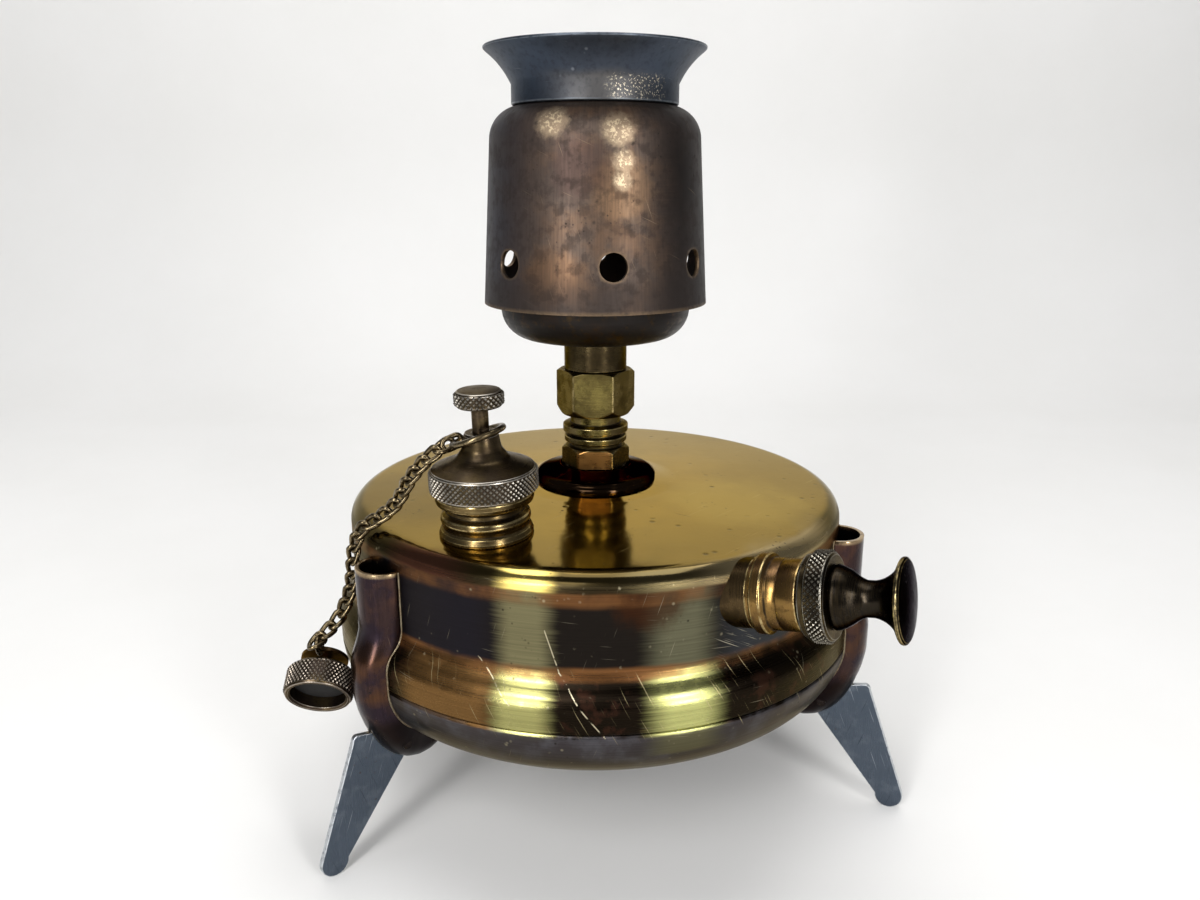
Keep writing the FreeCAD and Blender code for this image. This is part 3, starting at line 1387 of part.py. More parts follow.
def valve_spring():
    return coil("valve_spring", "valve_coil", "valve_wire", "valve_spring_length / valve_turns",
                "valve_turns", "valve_floor + valve_wire + solder_gap", PUMP_FRAME)


# ---------------------------------------------------------------- legs

def sleeve_loft(body, name, inset, first, kind):
    """A loft down the wall and round the pan's corner, inset from the sleeve's outside."""
    half = "sleeve_width / 2"
    stations = [("sleeve_wall", first, "0", half)]
    for share in STEP_SHARES:
        ease = share ** 2 * (3 - 2 * share)
        stations.append((
            "sleeve_far - (sleeve_far - sleeve_wall) * %.4f" % ease,
            "step_low + (step_high - step_low) * %s" % share, "0", half))
    for angle, proud, narrow in NOSE:
        reach = "(pan_corner + sleeve_bulge * %s)" % proud
        stations.append((
            "pan_flat + %s * cos(%ddeg)" % (reach, angle),
            "seam_height - %s * sin(%ddeg)" % (reach, angle),
            "%ddeg" % angle,
            half + " * %s" % narrow))
    sketches = []
    for number, (across, up, angle, half) in enumerate(stations):
        sketch = sketch_on(body, "%sSection%d" % (name, number), "XY_Plane")
        bind(sketch, "AttachmentOffset",
             "placement(vector(%s; 0; %s); rotation(vector(0; 1; 0); %s))" % (across, up, angle))
        radius = "(%s - %s)" % (half, inset)
        flank = "-(%s) - %s" % (inset, radius)
        outline(sketch, [
            ("-sleeve_depth", "-" + radius),
            (flank, "-" + radius, radius + " * 1.0001", RIGHT),
            ("-(%s)" % inset, "0", radius + " * 1.0001", RIGHT),
            (flank, radius),
            ("-sleeve_depth", radius),
        ])
        sketches.append(sketch)
    loft = body.newObject("PartDesign::" + kind, name)
    loft.Profile = sketches[0]
    loft.Sections = sketches[1:]
    loft.Ruled = True
    return loft


def leg_sleeve(number):
    """A drawn channel, soldered to the wall: open at the top, curled to a slotted nose below."""
    body = new_body("leg_sleeve_%d" % number)
    sleeve_loft(body, "Channel", "0", "sleeve_top", "AdditiveLoft")
    sleeve_loft(body, "Hollow", "sleeve_sheet", "sleeve_top + sleeve_sheet", "SubtractiveLoft")
    turned(body, "TankSeat", [
        ("0", "pan_low - solder_gap"),
        ("pan_flat", "pan_low - solder_gap", "pan_corner + solder_gap", RIGHT),
        ("bulge_radius + solder_gap", "seam_height"),
        ("bulge_radius + solder_gap", "step_low", "step_round + solder_gap", RIGHT),
        ("bulge_radius + solder_gap - step_half", "step_low + step_rise", "step_round - solder_gap", LEFT),
        ("tank_radius + solder_gap", "step_high"),
        ("tank_radius + solder_gap", "sleeve_top + 2 * cut_past"),
        ("0", "sleeve_top + 2 * cut_past"),
    ], kind="Groove")
    slot = sketch_on(body, "SlotOutline", "XZ_Plane")
    inner = "pan_flat - slot_reach"
    outline(slot, [(inner, "0"), ("foot_tip_place", "0"), ("foot_tip_place", "slot_top"),
                   (inner, "slot_top")])
    pocketed(body, "FootSlot", slot, "slot_width", midplane=True)
    bored(body, "PinHole", "pin_radius + solder_gap", "2 * sleeve_width", pin_frame("-sleeve_width"))
    bind(body, "Placement", facing(leg_angle(number)))
    return body


def leg_angle(number):
    return "leg_azimuth + %d" % (360 * (number - 1) // LEGS)


def pin_frame(start):
    """On the axis of a leg's pin, from start beside the leg's middle plane."""
    return "placement(vector(pin_place; -(%s); pin_height); rotation(vector(1; 0; 0); 90deg))" % start


def foot(number):
    """A steel plate that stands in the leg's radial plane and folds in under the tank."""
    body = new_body("foot_%d" % number)
    sketch = sketch_on(body, "FootOutline", "XZ_Plane")
    tip = "foot_tip_radius"
    outline(sketch, [
        ("foot_tip_place - %s" % tip, tip, tip + " * 1.0001", RIGHT),
        ("foot_tip_place", "0", tip + " * 1.0001", RIGHT),
        ("foot_tip_place + %s * 0.94" % tip, tip + " * 1.3"),
        ("foot_shoulder_place + fine_bevel", "foot_shoulder_height - foot_shoulder_round",
         "foot_shoulder_round", RIGHT),
        ("foot_shoulder_place + fine_bevel - 0.83 * foot_shoulder_round", "foot_shoulder_height"),
        ("pin_place + foot_eye * 0.4", "pin_height + foot_eye * 0.95", "foot_eye * 1.3", RIGHT),
        ("pin_place - foot_eye", "pin_height"),
        ("foot_heel_place", "foot_heel_height"),
    ])
    padded(body, "Plate", sketch, "foot_thickness", midplane=True)
    bored(body, "Eye", "pin_radius + turning_gap", "2 * foot_thickness", pin_frame("-foot_thickness"))
    bind(body, "Placement", facing(leg_angle(number)))
    return body


def foot_pins():
    """The three pins, one for each leg."""
    pins = []
    for number in range(1, LEGS + 1):
        pin = doc.addObject("Part::Cylinder", "FootPin%d" % number)
        bind(pin, "Radius", "pin_radius")
        bind(pin, "Height", "pin_length")
        bind(pin, "Placement", "(%s) * (%s)" % (facing(leg_angle(number)), pin_frame("-pin_length / 2")))
        pins.append(pin)
    group = doc.addObject("Part::Compound", "foot_pins")
    group.Label = "foot_pins"
    group.Links = pins
    return group


def sub_parts():
    yield tank_upper_shell()
    yield tank_bottom_pan()
    yield riser_flange()
    yield riser_fitting()
    yield dip_tube()
    yield fuel_strainer()
    yield union_nut()
    yield burner_stem()
    yield spirit_cup()
    yield burner_manifold()
    yield vaporizer_tube("vaporizer_tube_left", -1)
    yield vaporizer_tube("vaporizer_tube_right", 1)
    yield jet_nipple()
    yield mixing_tube()
    yield burner_plate()
    yield flame_cap()
    yield draught_shroud()
    yield flame_funnel()
    yield filler_collar()
    yield filler_seal()
    yield filler_cap()
    yield air_screw()
    yield neck_ring()
    yield chain_links()
    yield blanking_cap()
    yield blanking_seal()
    yield cap_stud()
    yield swivel_ring()
    yield pump_boss()
    yield pump_tube()
    yield pump_cap()
    yield pump_knob()
    yield pump_rod()
    yield pump_leather()
    yield leather_washers()
    yield backing_washer()
    yield leather_nut()
    yield pump_spring()
    yield valve_body()
    yield valve_pip()
    yield valve_spring()
    for number in range(1, LEGS + 1):
        yield leg_sleeve(number)
        yield foot(number)
    yield foot_pins()


def check(parts):
    """Stop unless every object is sound and every sub-part has a valid solid."""
    faults = ["%s has failed" % thing.FullName for thing in doc.Objects
              if {"Invalid", "Error"} & set(thing.State)]
    faults += ["%s has no valid solid" % part.Label for part in parts
               if part.Shape.isNull() or not part.Shape.isValid() or not part.Shape.Solids]
    if faults:
        raise RuntimeError("; ".join(faults))


parts = list(sub_parts())
doc.recompute()
check(parts)
os.makedirs("parts", exist_ok=True)
for part in parts:
    part.Shape.exportStep(os.path.join("parts", part.Label + ".step"))
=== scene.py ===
"""Kerosene pressure stove: the finished outer pieces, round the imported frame.

Lengths in the tables are millimetres, in the frame's own axes: the stove stands on Z = 0, its front is -Y,
and an azimuth is counted from the front towards +X, in degrees.
"""

import json
import math

import bmesh
import bpy
from mathutils import Matrix, Vector


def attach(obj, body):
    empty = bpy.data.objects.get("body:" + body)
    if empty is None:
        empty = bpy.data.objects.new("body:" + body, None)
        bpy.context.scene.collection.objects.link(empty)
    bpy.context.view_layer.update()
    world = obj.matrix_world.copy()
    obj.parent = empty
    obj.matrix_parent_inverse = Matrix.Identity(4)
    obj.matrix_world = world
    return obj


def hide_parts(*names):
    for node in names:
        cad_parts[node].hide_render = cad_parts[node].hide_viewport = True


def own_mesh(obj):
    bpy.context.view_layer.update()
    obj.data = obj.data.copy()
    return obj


bl_info = {
    "name": "Kerosene pressure stove",
    "version": (1, 0, 0),
    "blender": (4, 5, 0),
    "location": "3D View > Sidebar > Stove",
    "description": "Turned, pressed and knurled pieces of a small brass stove, with their finishes",
    "category": "Add Mesh",
}

MM = 0.001
TURN = 2 * math.pi
LEGS = 3
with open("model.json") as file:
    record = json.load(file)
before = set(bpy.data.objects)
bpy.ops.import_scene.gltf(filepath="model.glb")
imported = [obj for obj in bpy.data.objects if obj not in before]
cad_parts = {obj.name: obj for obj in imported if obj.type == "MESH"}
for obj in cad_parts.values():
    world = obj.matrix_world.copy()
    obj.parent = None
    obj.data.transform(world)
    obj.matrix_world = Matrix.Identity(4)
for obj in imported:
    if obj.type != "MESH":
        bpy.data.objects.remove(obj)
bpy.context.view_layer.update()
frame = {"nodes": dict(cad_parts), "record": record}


def linear(code):
    """An sRGB hex colour as the linear numbers that a shader takes."""
    shares = [int(code[place:place + 2], 16) / 255 for place in (1, 3, 5)]
    return [share / 12.92 if share <= 0.04045 else ((share + 0.055) / 1.055) ** 2.4 for share in shares]


def colour(name, text, code):
    """A colour setting."""
    return bpy.props.FloatVectorProperty(
        name=name, description=text, subtype="COLOR", size=3, min=0, max=1, default=linear(code))


def length(name, text, millimetres):
    """A setting of a length."""
    return bpy.props.FloatProperty(
        name=name, description=text, subtype="DISTANCE", unit="LENGTH", min=0, precision=5,
        default=millimetres * MM)


# ---- settings

class TankSettings(bpy.types.PropertyGroup):
    brass: colour("Brass", "Polished sheet brass of the tank's top", "#A58742")
    # Painted dark reflection: the wall's dark film stands for the dark room that the brushed wall reflects,
    # more than for tarnish.
    wall: colour("Wall tarnish", "Dark film on the upright wall", "#1A1818")
    # A heat stain at the top of the wall; along the top of the bulge's step the same colour is a painted orange
    # highlight.
    stain_and_highlight: colour("Heat stain", "Orange-brown stain at the bends", "#7A5230")
    # The pan's dull film is its tarnish, made darker still as painted dark reflection.
    pan: colour("Pan tarnish", "Dull film on the bottom pan", "#403C3E")
    dent: length("Dents", "Depth of the sheet's waviness", 0.05)
    edge: length("Edge", "Rounding of a cut edge of the sheet", 0.25)


class BurnerSettings(bpy.types.PropertyGroup):
    brown: colour("Brown oxide", "Heat-browned brass of the draught shroud", "#50443E")
    copper: colour("Copper bloom", "Coppery bloom on the shroud", "#72563F")
    # A painted highlight: the colour of the shroud's bright, speckled spots, where the lamps' reflections fall.
    painted_highlight: colour("Bare metal", "Rubbed, bare spots", "#D9C6A4")
    blue: colour("Blued steel", "Blue-grey oxide of the funnel", "#363F4C")
    soot: colour("Soot", "Dark brown soot of the spirit cup", "#17120F")
    edge: length("Edge", "Rounding of a turned or cut edge", 0.2)
    hole: length("Draught hole", "Radius of a draught hole", 2.7)


class FittingSettings(bpy.types.PropertyGroup):
    brass: colour("Brass", "Turned brass of nuts and rings", "#726442")
    film: colour("Film", "Olive-brown film on turned brass", "#453A22")
    dark: colour("Dark grooves", "Dirt in grooves and knurls", "#15100B")
    # The flange's near-black colour is painted dark reflection of the burner above it.
    flange: colour("Flange", "Glossy, blackened flange", "#2C2016")
    silver: colour("Worn knurl", "Silvery, worn tips of the knurls", "#B5AFA4")
    edge: length("Edge", "Rounding of a turned edge", 0.18)
    knurl: length("Knurl", "Depth of the knurls", 0.38)


class ChainSettings(bpy.types.PropertyGroup):
    brass: colour("Chain brass", "Pale drawn brass wire", "#7A6C52")
    wire: length("Wire", "Radius of the links' wire", 0.5)
    long: length("Link", "Outer length of a link", 4.8)
    wide: length("Link width", "Outer width of a link", 3.0)
    twist: bpy.props.FloatProperty(
        name="Twist", description="Turn between the two ends of a curb link", subtype="ANGLE",
        default=math.radians(84))


class LegSettings(bpy.types.PropertyGroup):
    patina: colour("Patina", "Purple-brown patina of the sleeves", "#3C2E2D")
    copper: colour("Copper patina", "Copper-coloured patches on the sleeves", "#5A3E30")
    solder: colour("Solder", "Bright soft solder along the sleeves", "#857B66")
    plate: colour("Plated steel", "Blue-grey plating of the feet", "#58616D")
    sheet: length("Sheet", "Thickness of a sleeve", 0.8)
    bead: length("Bead", "Radius of the solder's bead", 0.18)


class StageSettings(bpy.types.PropertyGroup):
    floor: colour("Floor", "Plain pale floor and backdrop", "#E9E8E6")
    world: colour("Room", "Even light of the room", "#6E7074")


GROUPS = {
    "stove_tank": TankSettings,
    "stove_burner": BurnerSettings,
    "stove_fitting": FittingSettings,
    "stove_chain": ChainSettings,
    "stove_leg": LegSettings,
    "stove_stage": StageSettings,
}


# ---- places

def standing(origin, axis):
    """A frame at origin, in mm, whose Z axis points along axis."""
    turn = Vector(axis).to_track_quat("Z", "Y").to_matrix().to_4x4()
    return Matrix.Translation(Vector(origin) * MM) @ turn


def leg_place(number):
    """The frame of a leg: X points outwards in the leg's plane."""
    return Matrix.Rotation(math.radians(-49.5 + 360 / LEGS * (number - 1) - 90), 4, "Z")


UPRIGHT = Matrix()
FILLER = standing((-20.403, -31.418, 60.733), (-0.02159, -0.03325, 0.99921))
PUMP = standing((-20.202, -16.719, 50.914), (0.85964, -0.48636, 0.15643))
BLANK = standing((-53.94, -35.64, 34.03), (0, 0.82904, 0.55919))


# ---- outlines

def arc(centre, spoke, sweep, steps, last):
    """Points round a centre from its spoke on, each with the same last value."""
    points = []
    for step in range(steps + 1):
        angle = sweep * step / steps
        points.append((centre.x + spoke.x * math.cos(angle) - spoke.y * math.sin(angle),
                       centre.y + spoke.x * math.sin(angle) + spoke.y * math.cos(angle), last))
    return points


def bend(start, end, radius, side, steps=10):
    """An arc between two points of an outline. Side 1 bulges to the right of the way, -1 to the left."""
    a, b = Vector(start), Vector(end)
    across = b - a
    half = across.length / 2
    rise = math.sqrt(max(radius ** 2 - half ** 2, 0))
    centre = (a + b) / 2 + Vector((-across.y, across.x)).normalized() * rise * side
    return arc(centre, a - centre, 2 * math.asin(min(half / radius, 1)) * side, steps, 0)


# Half the flattest corner that gets rounded, how much of a side a rounding may take, and how far from the
# corner a support point lies, as a share of the rounding.
FLATTEST, SHARE_OF_SIDE, SUPPORT = math.radians(85), 0.42, 1.5


def soften(corners, radius, closed=True, steps=3):
    """An outline of (r, z) corners, or (r, z, own radius), with rounded edges and a support point beside each.

    Gives (r, z, wear): 1 on an outside edge, -1 in an inside corner, 0 elsewhere."""
    points = []
    for index, corner in enumerate(corners):
        here = Vector(corner[:2])
        own = corner[2] if len(corner) > 2 else radius
        before = Vector(corners[index - 1][:2]) - here
        after = Vector(corners[(index + 1) % len(corners)][:2]) - here
        end = not closed and index in (0, len(corners) - 1)
        sharp = end or not own or before.length < 1e-6 or after.length < 1e-6
        half = 0 if sharp else before.angle(after) / 2
        if sharp or half > FLATTEST:
            points.append((here.x, here.y, 0.0))
            continue
        reach = min(own / math.tan(half), SHARE_OF_SIDE * before.length, SHARE_OF_SIDE * after.length)
        back, on = before.normalized(), after.normalized()
        centre = here + (back + on).normalized() * (reach / math.cos(half))
        wear = 1.0 if before.cross(after) < 0 else -1.0
        if before.length > (SUPPORT + 1) * reach:
            points.append((*(here + back * reach * SUPPORT), 0.0))
        points += arc(centre, here + back * reach - centre, (math.pi - 2 * half) * wear, steps, wear)
        if after.length > (SUPPORT + 1) * reach:
            points.append((*(here + on * reach * SUPPORT), 0.0))
    return points


def subdivided(points, step):
    """An outline with more points, none further apart than step, in mm."""
    finer = []
    for first, second in zip(points, points[1:] + points[:1]):
        count = max(1, math.ceil(math.dist(first[:2], second[:2]) / step))
        finer += [tuple(a + (b - a) * (number / count) for a, b in zip(first, second))
                  for number in range(count)]
    return finer


# ---- meshes

def piece(name, mesh):
    """A new object of the scene."""
    made = bpy.data.objects.new(name, mesh)
    bpy.context.scene.collection.objects.link(made)
    return made


def metres(points):
    """Points of a table, in mm, as the scene counts."""
    return [tuple(axis * MM for axis in point) for point in points]


def mesh_of(name, points, faces, wear=(), uv=()):
    """A smooth mesh from points in mm. Wear fills the attributes edge and hollow, uv the map turning."""
    mesh = bpy.data.meshes.new(name)
    mesh.from_pydata(metres(points), [], faces)
    mesh.update()
    mesh.polygons.foreach_set("use_smooth", [True] * len(mesh.polygons))
    wear = wear or [0.0] * len(points)
    for attribute, sign in (("edge", 1), ("hollow", -1)):
        layer = mesh.attributes.new(attribute, "FLOAT", "POINT")
        layer.data.foreach_set("value", [max(0.0, value * sign) for value in wear])
    if uv:
        layer = mesh.uv_layers.new(name="turning")
        layer.uv.foreach_set("vector", [value * MM for pair in uv for value in pair])
    return mesh


def hexagon(angle, across, turn):
    """The distance from the middle of a hexagon to its side, at an angle in degrees."""
    return across / 2 / math.cos(math.radians((angle - turn) % 60 - 30))


# How wide the worn edge of a milled flat is, in mm.
CHAMFER = 0.12


def lathe(name, points, place=UPRIGHT, segments=192, closed=True, flats=()):
    """A turned piece about its place's Z axis, from an outline that runs round the metal anticlockwise.

    flats lists milled hexagons as (across the flats, turn, low, high)."""
    turn = flats[0][1] if flats else 0
    angles = [turn + 180 + 360 * number / segments for number in range(segments)]
    spots, wear, rings = [], [], []
    for r, z, worn in points:
        if r < 1e-6:
            rings.append([len(spots)] * segments)
            spots.append((0, 0, z))
            wear.append(worn)
            continue
        rings.append(list(range(len(spots), len(spots) + segments)))
        for angle in angles:
            reach, rub = r, worn
            for across, hex_turn, low, high in flats:
                if low <= z <= high:
                    side = hexagon(angle, across, hex_turn)
                    close = max(CHAMFER - abs(side - r), 0) / CHAMFER
                    reach = min(side, r) - close ** 2 * CHAMFER / 4
                    rub = max(close, worn if r < side else 0.0)
            spots.append((reach * math.cos(math.radians(angle)), reach * math.sin(math.radians(angle)), z))
            wear.append(rub)
    widest = max(r for r, _, _ in points)
    faces, uv, run = [], [], 0
    pairs = list(zip(range(len(points)), list(range(1, len(points))) + [0]))
    for low, high in pairs if closed else pairs[:-1]:
        step = math.dist(points[low][:2], points[high][:2])
        for number in range(segments):
            after = (number + 1) % segments
            corners = [(rings[low][number], number, run), (rings[low][after], number + 1, run),
                       (rings[high][after], number + 1, run + step), (rings[high][number], number, run + step)]
            kept = [corner for index, corner in enumerate(corners) if corner[0] != corners[index - 1][0]]
            faces.append([corner[0] for corner in kept])
            uv += [(TURN * column / segments * widest, height) for _, column, height in kept]
        run += step
    mesh = mesh_of(name, spots, faces, wear, uv)
    mesh.transform(place)
    return mesh


def joined(name, *meshes):
    """One mesh of several, with their attributes."""
    parts = [piece(name, mesh) for mesh in meshes]
    with bpy.context.temp_override(active_object=parts[0], selected_editable_objects=parts):
        bpy.ops.object.join()
    mesh = parts[0].data
    bpy.data.objects.remove(parts[0])
    return mesh


def evaluated(made):
    """The mesh of an object's modifiers. The object is used up."""
    mesh = bpy.data.meshes.new_from_object(made.evaluated_get(bpy.context.evaluated_depsgraph_get()))
    bpy.data.objects.remove(made)
    return mesh


def rimmed(name, mesh, rim, segments, angle, wall=0):
    """A piece of a skin that gets its wall, in metres, and bevels, rim mm wide, on its edges past an angle."""
    made = piece(name, mesh)
    if wall:
        solid = made.modifiers.new("wall", "SOLIDIFY")
        solid.thickness, solid.offset = wall, -1
    bevel = made.modifiers.new("rim", "BEVEL")
    bevel.width, bevel.segments = rim * MM, segments
    bevel.limit_method, bevel.angle_limit = "ANGLE", math.radians(angle)
    return piece(name, evaluated(made))


def finish(made, material):
    """Give a piece its one finish."""
    made.data.materials.clear()
    made.data.materials.append(material)


def seat(made, body, slot, material, *nodes):
    """Give a piece its finish, its body and the frame's nodes that it stands for."""
    finish(made, material)
    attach(made, body)
    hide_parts(*nodes)
    return made


def turned(name, points, body, slot, material, nodes=None, teeth=None, **how):
    """A turned piece with its knurling, seated in place of the frame's node of the same name or of others."""
    mesh = lathe(name, points, **how)
    if teeth:
        mesh = joined(name, mesh, teeth)
    seat(piece(name, mesh), body, slot, material, *((name,) if nodes is None else nodes))


# ---- geometry trees

MATH, VECTOR, RANGE = "ShaderNodeMath", "ShaderNodeVectorMath", "ShaderNodeMapRange"
NOISE, SPLIT, JOIN = "ShaderNodeTexNoise", "ShaderNodeSeparateXYZ", "ShaderNodeCombineXYZ"
EASED = {"interpolation_type": "SMOOTHSTEP"}
FALLING = {"To Min": 1.0, "To Max": 0.0}
SEEDED = {"noise_dimensions": "4D"}


def add(place, kind, inputs=None, **settings):
    """Add a node to a tree, or to the tree of a node or socket, with its settings, values and links.

    A node among the inputs gives its first output."""
    tree = place.id_data
    made = tree.nodes.new(kind)
    for name, value in settings.items():
        setattr(made, name, value)
    for name, value in (inputs or {}).items():
        if isinstance(value, bpy.types.Node):
            value = value.outputs[0]
        if isinstance(value, bpy.types.NodeSocket):
            tree.links.new(value, made.inputs[name])
        else:
            made.inputs[name].default_value = value
    return made


def new_tree(name, sockets):
    """A geometry tree with named inputs, and the sockets that give them."""
    tree = bpy.data.node_groups.new(name, "GeometryNodeTree")
    for way in ("OUTPUT", "INPUT"):
        tree.interface.new_socket("Geometry", in_out=way, socket_type="NodeSocketGeometry")
    for socket, kind in {**sockets, "Material": "Material"}.items():
        tree.interface.new_socket(socket, in_out="INPUT", socket_type="NodeSocket" + kind)
    return tree, add(tree, "NodeGroupInput").outputs


def close_tree(instances, given):
    """End a tree in real geometry with its material."""
    real = add(instances, "GeometryNodeRealizeInstances", {0: instances})
    clad = add(instances, "GeometryNodeSetMaterial", {"Geometry": real, "Material": given["Material"]})
    add(instances, "NodeGroupOutput", {0: clad})
    return instances.id_data


def grown(made, tree, values):
    """The mesh that a tree grows on an object, which is used up."""
    modifier = made.modifiers.new(tree.name, "NODES")
    modifier.node_group = tree
    for item in tree.interface.items_tree:
        if item.in_out == "INPUT" and item.name in values:
            modifier[item.identifier] = values[item.name]
    bpy.context.view_layer.update()
    return evaluated(made)


def knurl_tree():
    """Rows of blunt pyramids round a cylinder, each row half a step on from the one below."""
    tree, given = new_tree("knurl", {
        "Radius": "Float", "Low": "Float", "High": "Float", "Depth": "Float", "Around": "Int", "Rows": "Int",
        "Tooth": "Object"})
    values = {**dict(given.items()), "index": add(tree, "GeometryNodeInputIndex")}
    for name, operation, *terms in (
            ("total", "MULTIPLY", "Around", "Rows"), ("column", "FLOORED_MODULO", "index", "Around"),
            ("share", "DIVIDE", "index", "Around"), ("row", "FLOOR", "share"),
            ("odd", "FLOORED_MODULO", "row", 2.0), ("offset", "MULTIPLY_ADD", "odd", 0.5, "column"),
            ("step", "DIVIDE", TURN, "Around"), ("angle", "MULTIPLY", "offset", "step"),
            ("tall", "SUBTRACT", "High", "Low"), ("gaps", "ADD", "Rows", 1.0),
            ("rise", "DIVIDE", "tall", "gaps"), ("level", "ADD", "row", 1.0),
            ("height", "MULTIPLY_ADD", "level", "rise", "Low"),
            ("x", "COSINE", "angle"), ("y", "SINE", "angle"), ("chord", "MULTIPLY", "step", "Radius"),
            ("half", "MULTIPLY", "chord", 0.5)):
        values[name] = add(tree, MATH, {place: values.get(term, term) for place, term in enumerate(terms)},
                           operation=operation)
    spots = add(tree, "GeometryNodePoints", {"Count": values["total"]})
    way = add(tree, JOIN, {"X": values["x"], "Y": values["y"]})
    out = add(tree, VECTOR, {0: way, "Scale": given["Radius"]}, operation="SCALE")
    up = add(tree, JOIN, {"Z": values["height"]})
    place = add(tree, VECTOR, {0: out, 1: up}, operation="ADD")
    moved = add(tree, "GeometryNodeSetPosition", {"Geometry": spots, "Position": place})
    turn = add(tree, JOIN, {"Y": math.pi / 2, "Z": values["angle"]})
    size = add(tree, JOIN, {"X": values["rise"], "Y": values["half"], "Z": given["Depth"]})
    tooth = add(tree, "GeometryNodeObjectInfo", {"Object": given["Tooth"]}).outputs["Geometry"]
    return close_tree(add(tree, "GeometryNodeInstanceOnPoints", {
        "Points": moved, "Instance": tooth, "Rotation": turn, "Scale": size}), given)


def chain_tree():
    """Links at even steps along a curve."""
    tree, given = new_tree("chain", {"Links": "Int", "Link": "Object", "Facing": "Vector"})
    even = add(tree, "GeometryNodeCurveToPoints", {"Curve": given["Geometry"], "Count": given["Links"]},
               mode="COUNT").outputs
    way = add(tree, "FunctionNodeAxesToRotation", {
        "Primary Axis": even["Tangent"], "Secondary Axis": given["Facing"]},
        primary_axis="X", secondary_axis="Z")
    link = add(tree, "GeometryNodeObjectInfo", {"Object": given["Link"]}).outputs["Geometry"]
    return close_tree(add(tree, "GeometryNodeInstanceOnPoints", {
        "Points": even["Points"], "Instance": link, "Rotation": way}), given)


def bead_tree():
    """An uneven bead of solder along an edge."""
    tree, given = new_tree("solder_bead", {"Radius": "Float", "Swell": "Float"})
    line = add(tree, "GeometryNodeMeshToCurve", {0: given["Geometry"]})
    even = add(tree, "GeometryNodeResampleCurve", {"Curve": line, "Length": 0.3 * MM}, mode="LENGTH")
    lumps = add(tree, NOISE, {"Scale": 420.0, "Detail": 3.0, "W": 3.0}, **SEEDED)
    swell = add(tree, RANGE, {"Value": lumps, "From Min": 0.3, "From Max": 0.7, "To Min": 1.0,
                              "To Max": given["Swell"]})
    thick = add(tree, MATH, {0: swell, 1: given["Radius"]}, operation="MULTIPLY")
    ring = add(tree, "GeometryNodeCurvePrimitiveCircle", {"Resolution": 10, "Radius": 1.0})
    tube = add(tree, "GeometryNodeCurveToMesh", {"Curve": even, "Profile Curve": ring, "Scale": thick,
                                                 "Fill Caps": True})
    return close_tree(add(tree, "GeometryNodeSetShadeSmooth", {0: tube}), given)


def knurled(radius, low, high, around, rows, depth, place, material):
    """A band of knurling, in mm but for its depth, on a turned piece."""
    side, tip, sunk = 1.0, 0.16, -0.3
    corners = [(x * wide, y * wide, height) for wide, height in ((side, sunk), (tip, 1.0))
               for x, y in ((1, 0), (0, 1), (-1, 0), (0, -1))]
    faces = [(0, 1, 5, 4), (1, 2, 6, 5), (2, 3, 7, 6), (3, 0, 4, 7), (4, 5, 6, 7), (3, 2, 1, 0)]
    shape = bpy.data.meshes.new("tooth")
    shape.from_pydata(corners, [], faces)
    for attribute, low_value, high_value in (("edge", 0.0, 1.0), ("hollow", 3.0, 0.0)):
        layer = shape.attributes.new(attribute, "FLOAT", "POINT")
        layer.data.foreach_set("value", [low_value] * 4 + [high_value] * 4)
    tooth = piece("tooth", shape)
    mesh = grown(piece("knurl", bpy.data.meshes.new("knurl")), knurl_tree(), {
        "Radius": radius * MM - depth, "Low": low * MM, "High": high * MM, "Depth": depth, "Around": around,
        "Rows": rows, "Tooth": tooth, "Material": material})
    bpy.data.objects.remove(tooth)
    mesh.transform(place)
    return mesh


def bead(path, place, radius, material):
    """A bead of solder along a path of points in mm."""
    line = bpy.data.meshes.new("bead")
    line.from_pydata(metres(path), [(number, number + 1) for number in range(len(path) - 1)], [])
    mesh = grown(piece("bead", line), bead_tree(), {"Radius": radius, "Swell": 1.5, "Material": material})
    mesh.transform(place)
    return mesh


# ---- finishes

# How far from its middle value a noise is cut to cover nothing or everything.
NOISE_SPREAD = 0.42
# The size of the wavering of a zone's border, and the radius of the tank's wall, in mm.
WAVER, WALL_RADIUS = 9, 52.5
# The least and the most roughness of a finish.
GLOSSIEST, DULLEST = 0.06, 0.95


def patches(where, size, share=0.5, soft=0.08, seed=0.0, detail=5.0):
    """Cloudy patches, size mm across, over a share of the surface."""
    cloud = add(where, NOISE, {"Vector": where, "W": seed, "Scale": 1 / (size * MM), "Detail": detail,
                               "Roughness": 0.6}, **SEEDED)
    middle = 0.5 + (0.5 - share) * NOISE_SPREAD
    return add(where, RANGE, {"Value": cloud, "From Min": middle - soft, "From Max": middle + soft}, **EASED)


def streaks(where, along, across, share=0.5, soft=0.15, seed=0.0, axis=0):
    """Fine lines, in mm long and wide, that run along one axis of the coordinates."""
    scale = [1 / (across * MM)] * 3
    scale[axis] = 1 / (along * MM)
    drawn = add(where, "ShaderNodeMapping", {"Vector": where, "Scale": scale})
    grain = add(where, NOISE, {"Vector": drawn, "W": seed, "Scale": 1.0, "Detail": 2.0}, **SEEDED)
    middle = 0.5 + (0.5 - share) * NOISE_SPREAD
    return add(where, RANGE, {"Value": grain, "From Min": middle - soft, "From Max": middle + soft})


def scratches(where, width, seed, turn, rare=0.81):
    """Nearly straight scratches, about width mm wide and forty times as long. A higher rare leaves fewer."""
    laid = add(where, "ShaderNodeMapping", {"Vector": where, "Rotation": (0, 0, turn)})
    drawn = add(where, "ShaderNodeMapping", {
        "Vector": laid, "Scale": [1 / (times * width * MM) for times in (120, 3, 3)]})
    grain = add(where, NOISE, {"Vector": drawn, "W": seed, "Scale": 1.0, "Detail": 0.0}, **SEEDED)
    return add(where, RANGE, {"Value": grain, "From Min": rare - 0.03, "From Max": rare + 0.04})


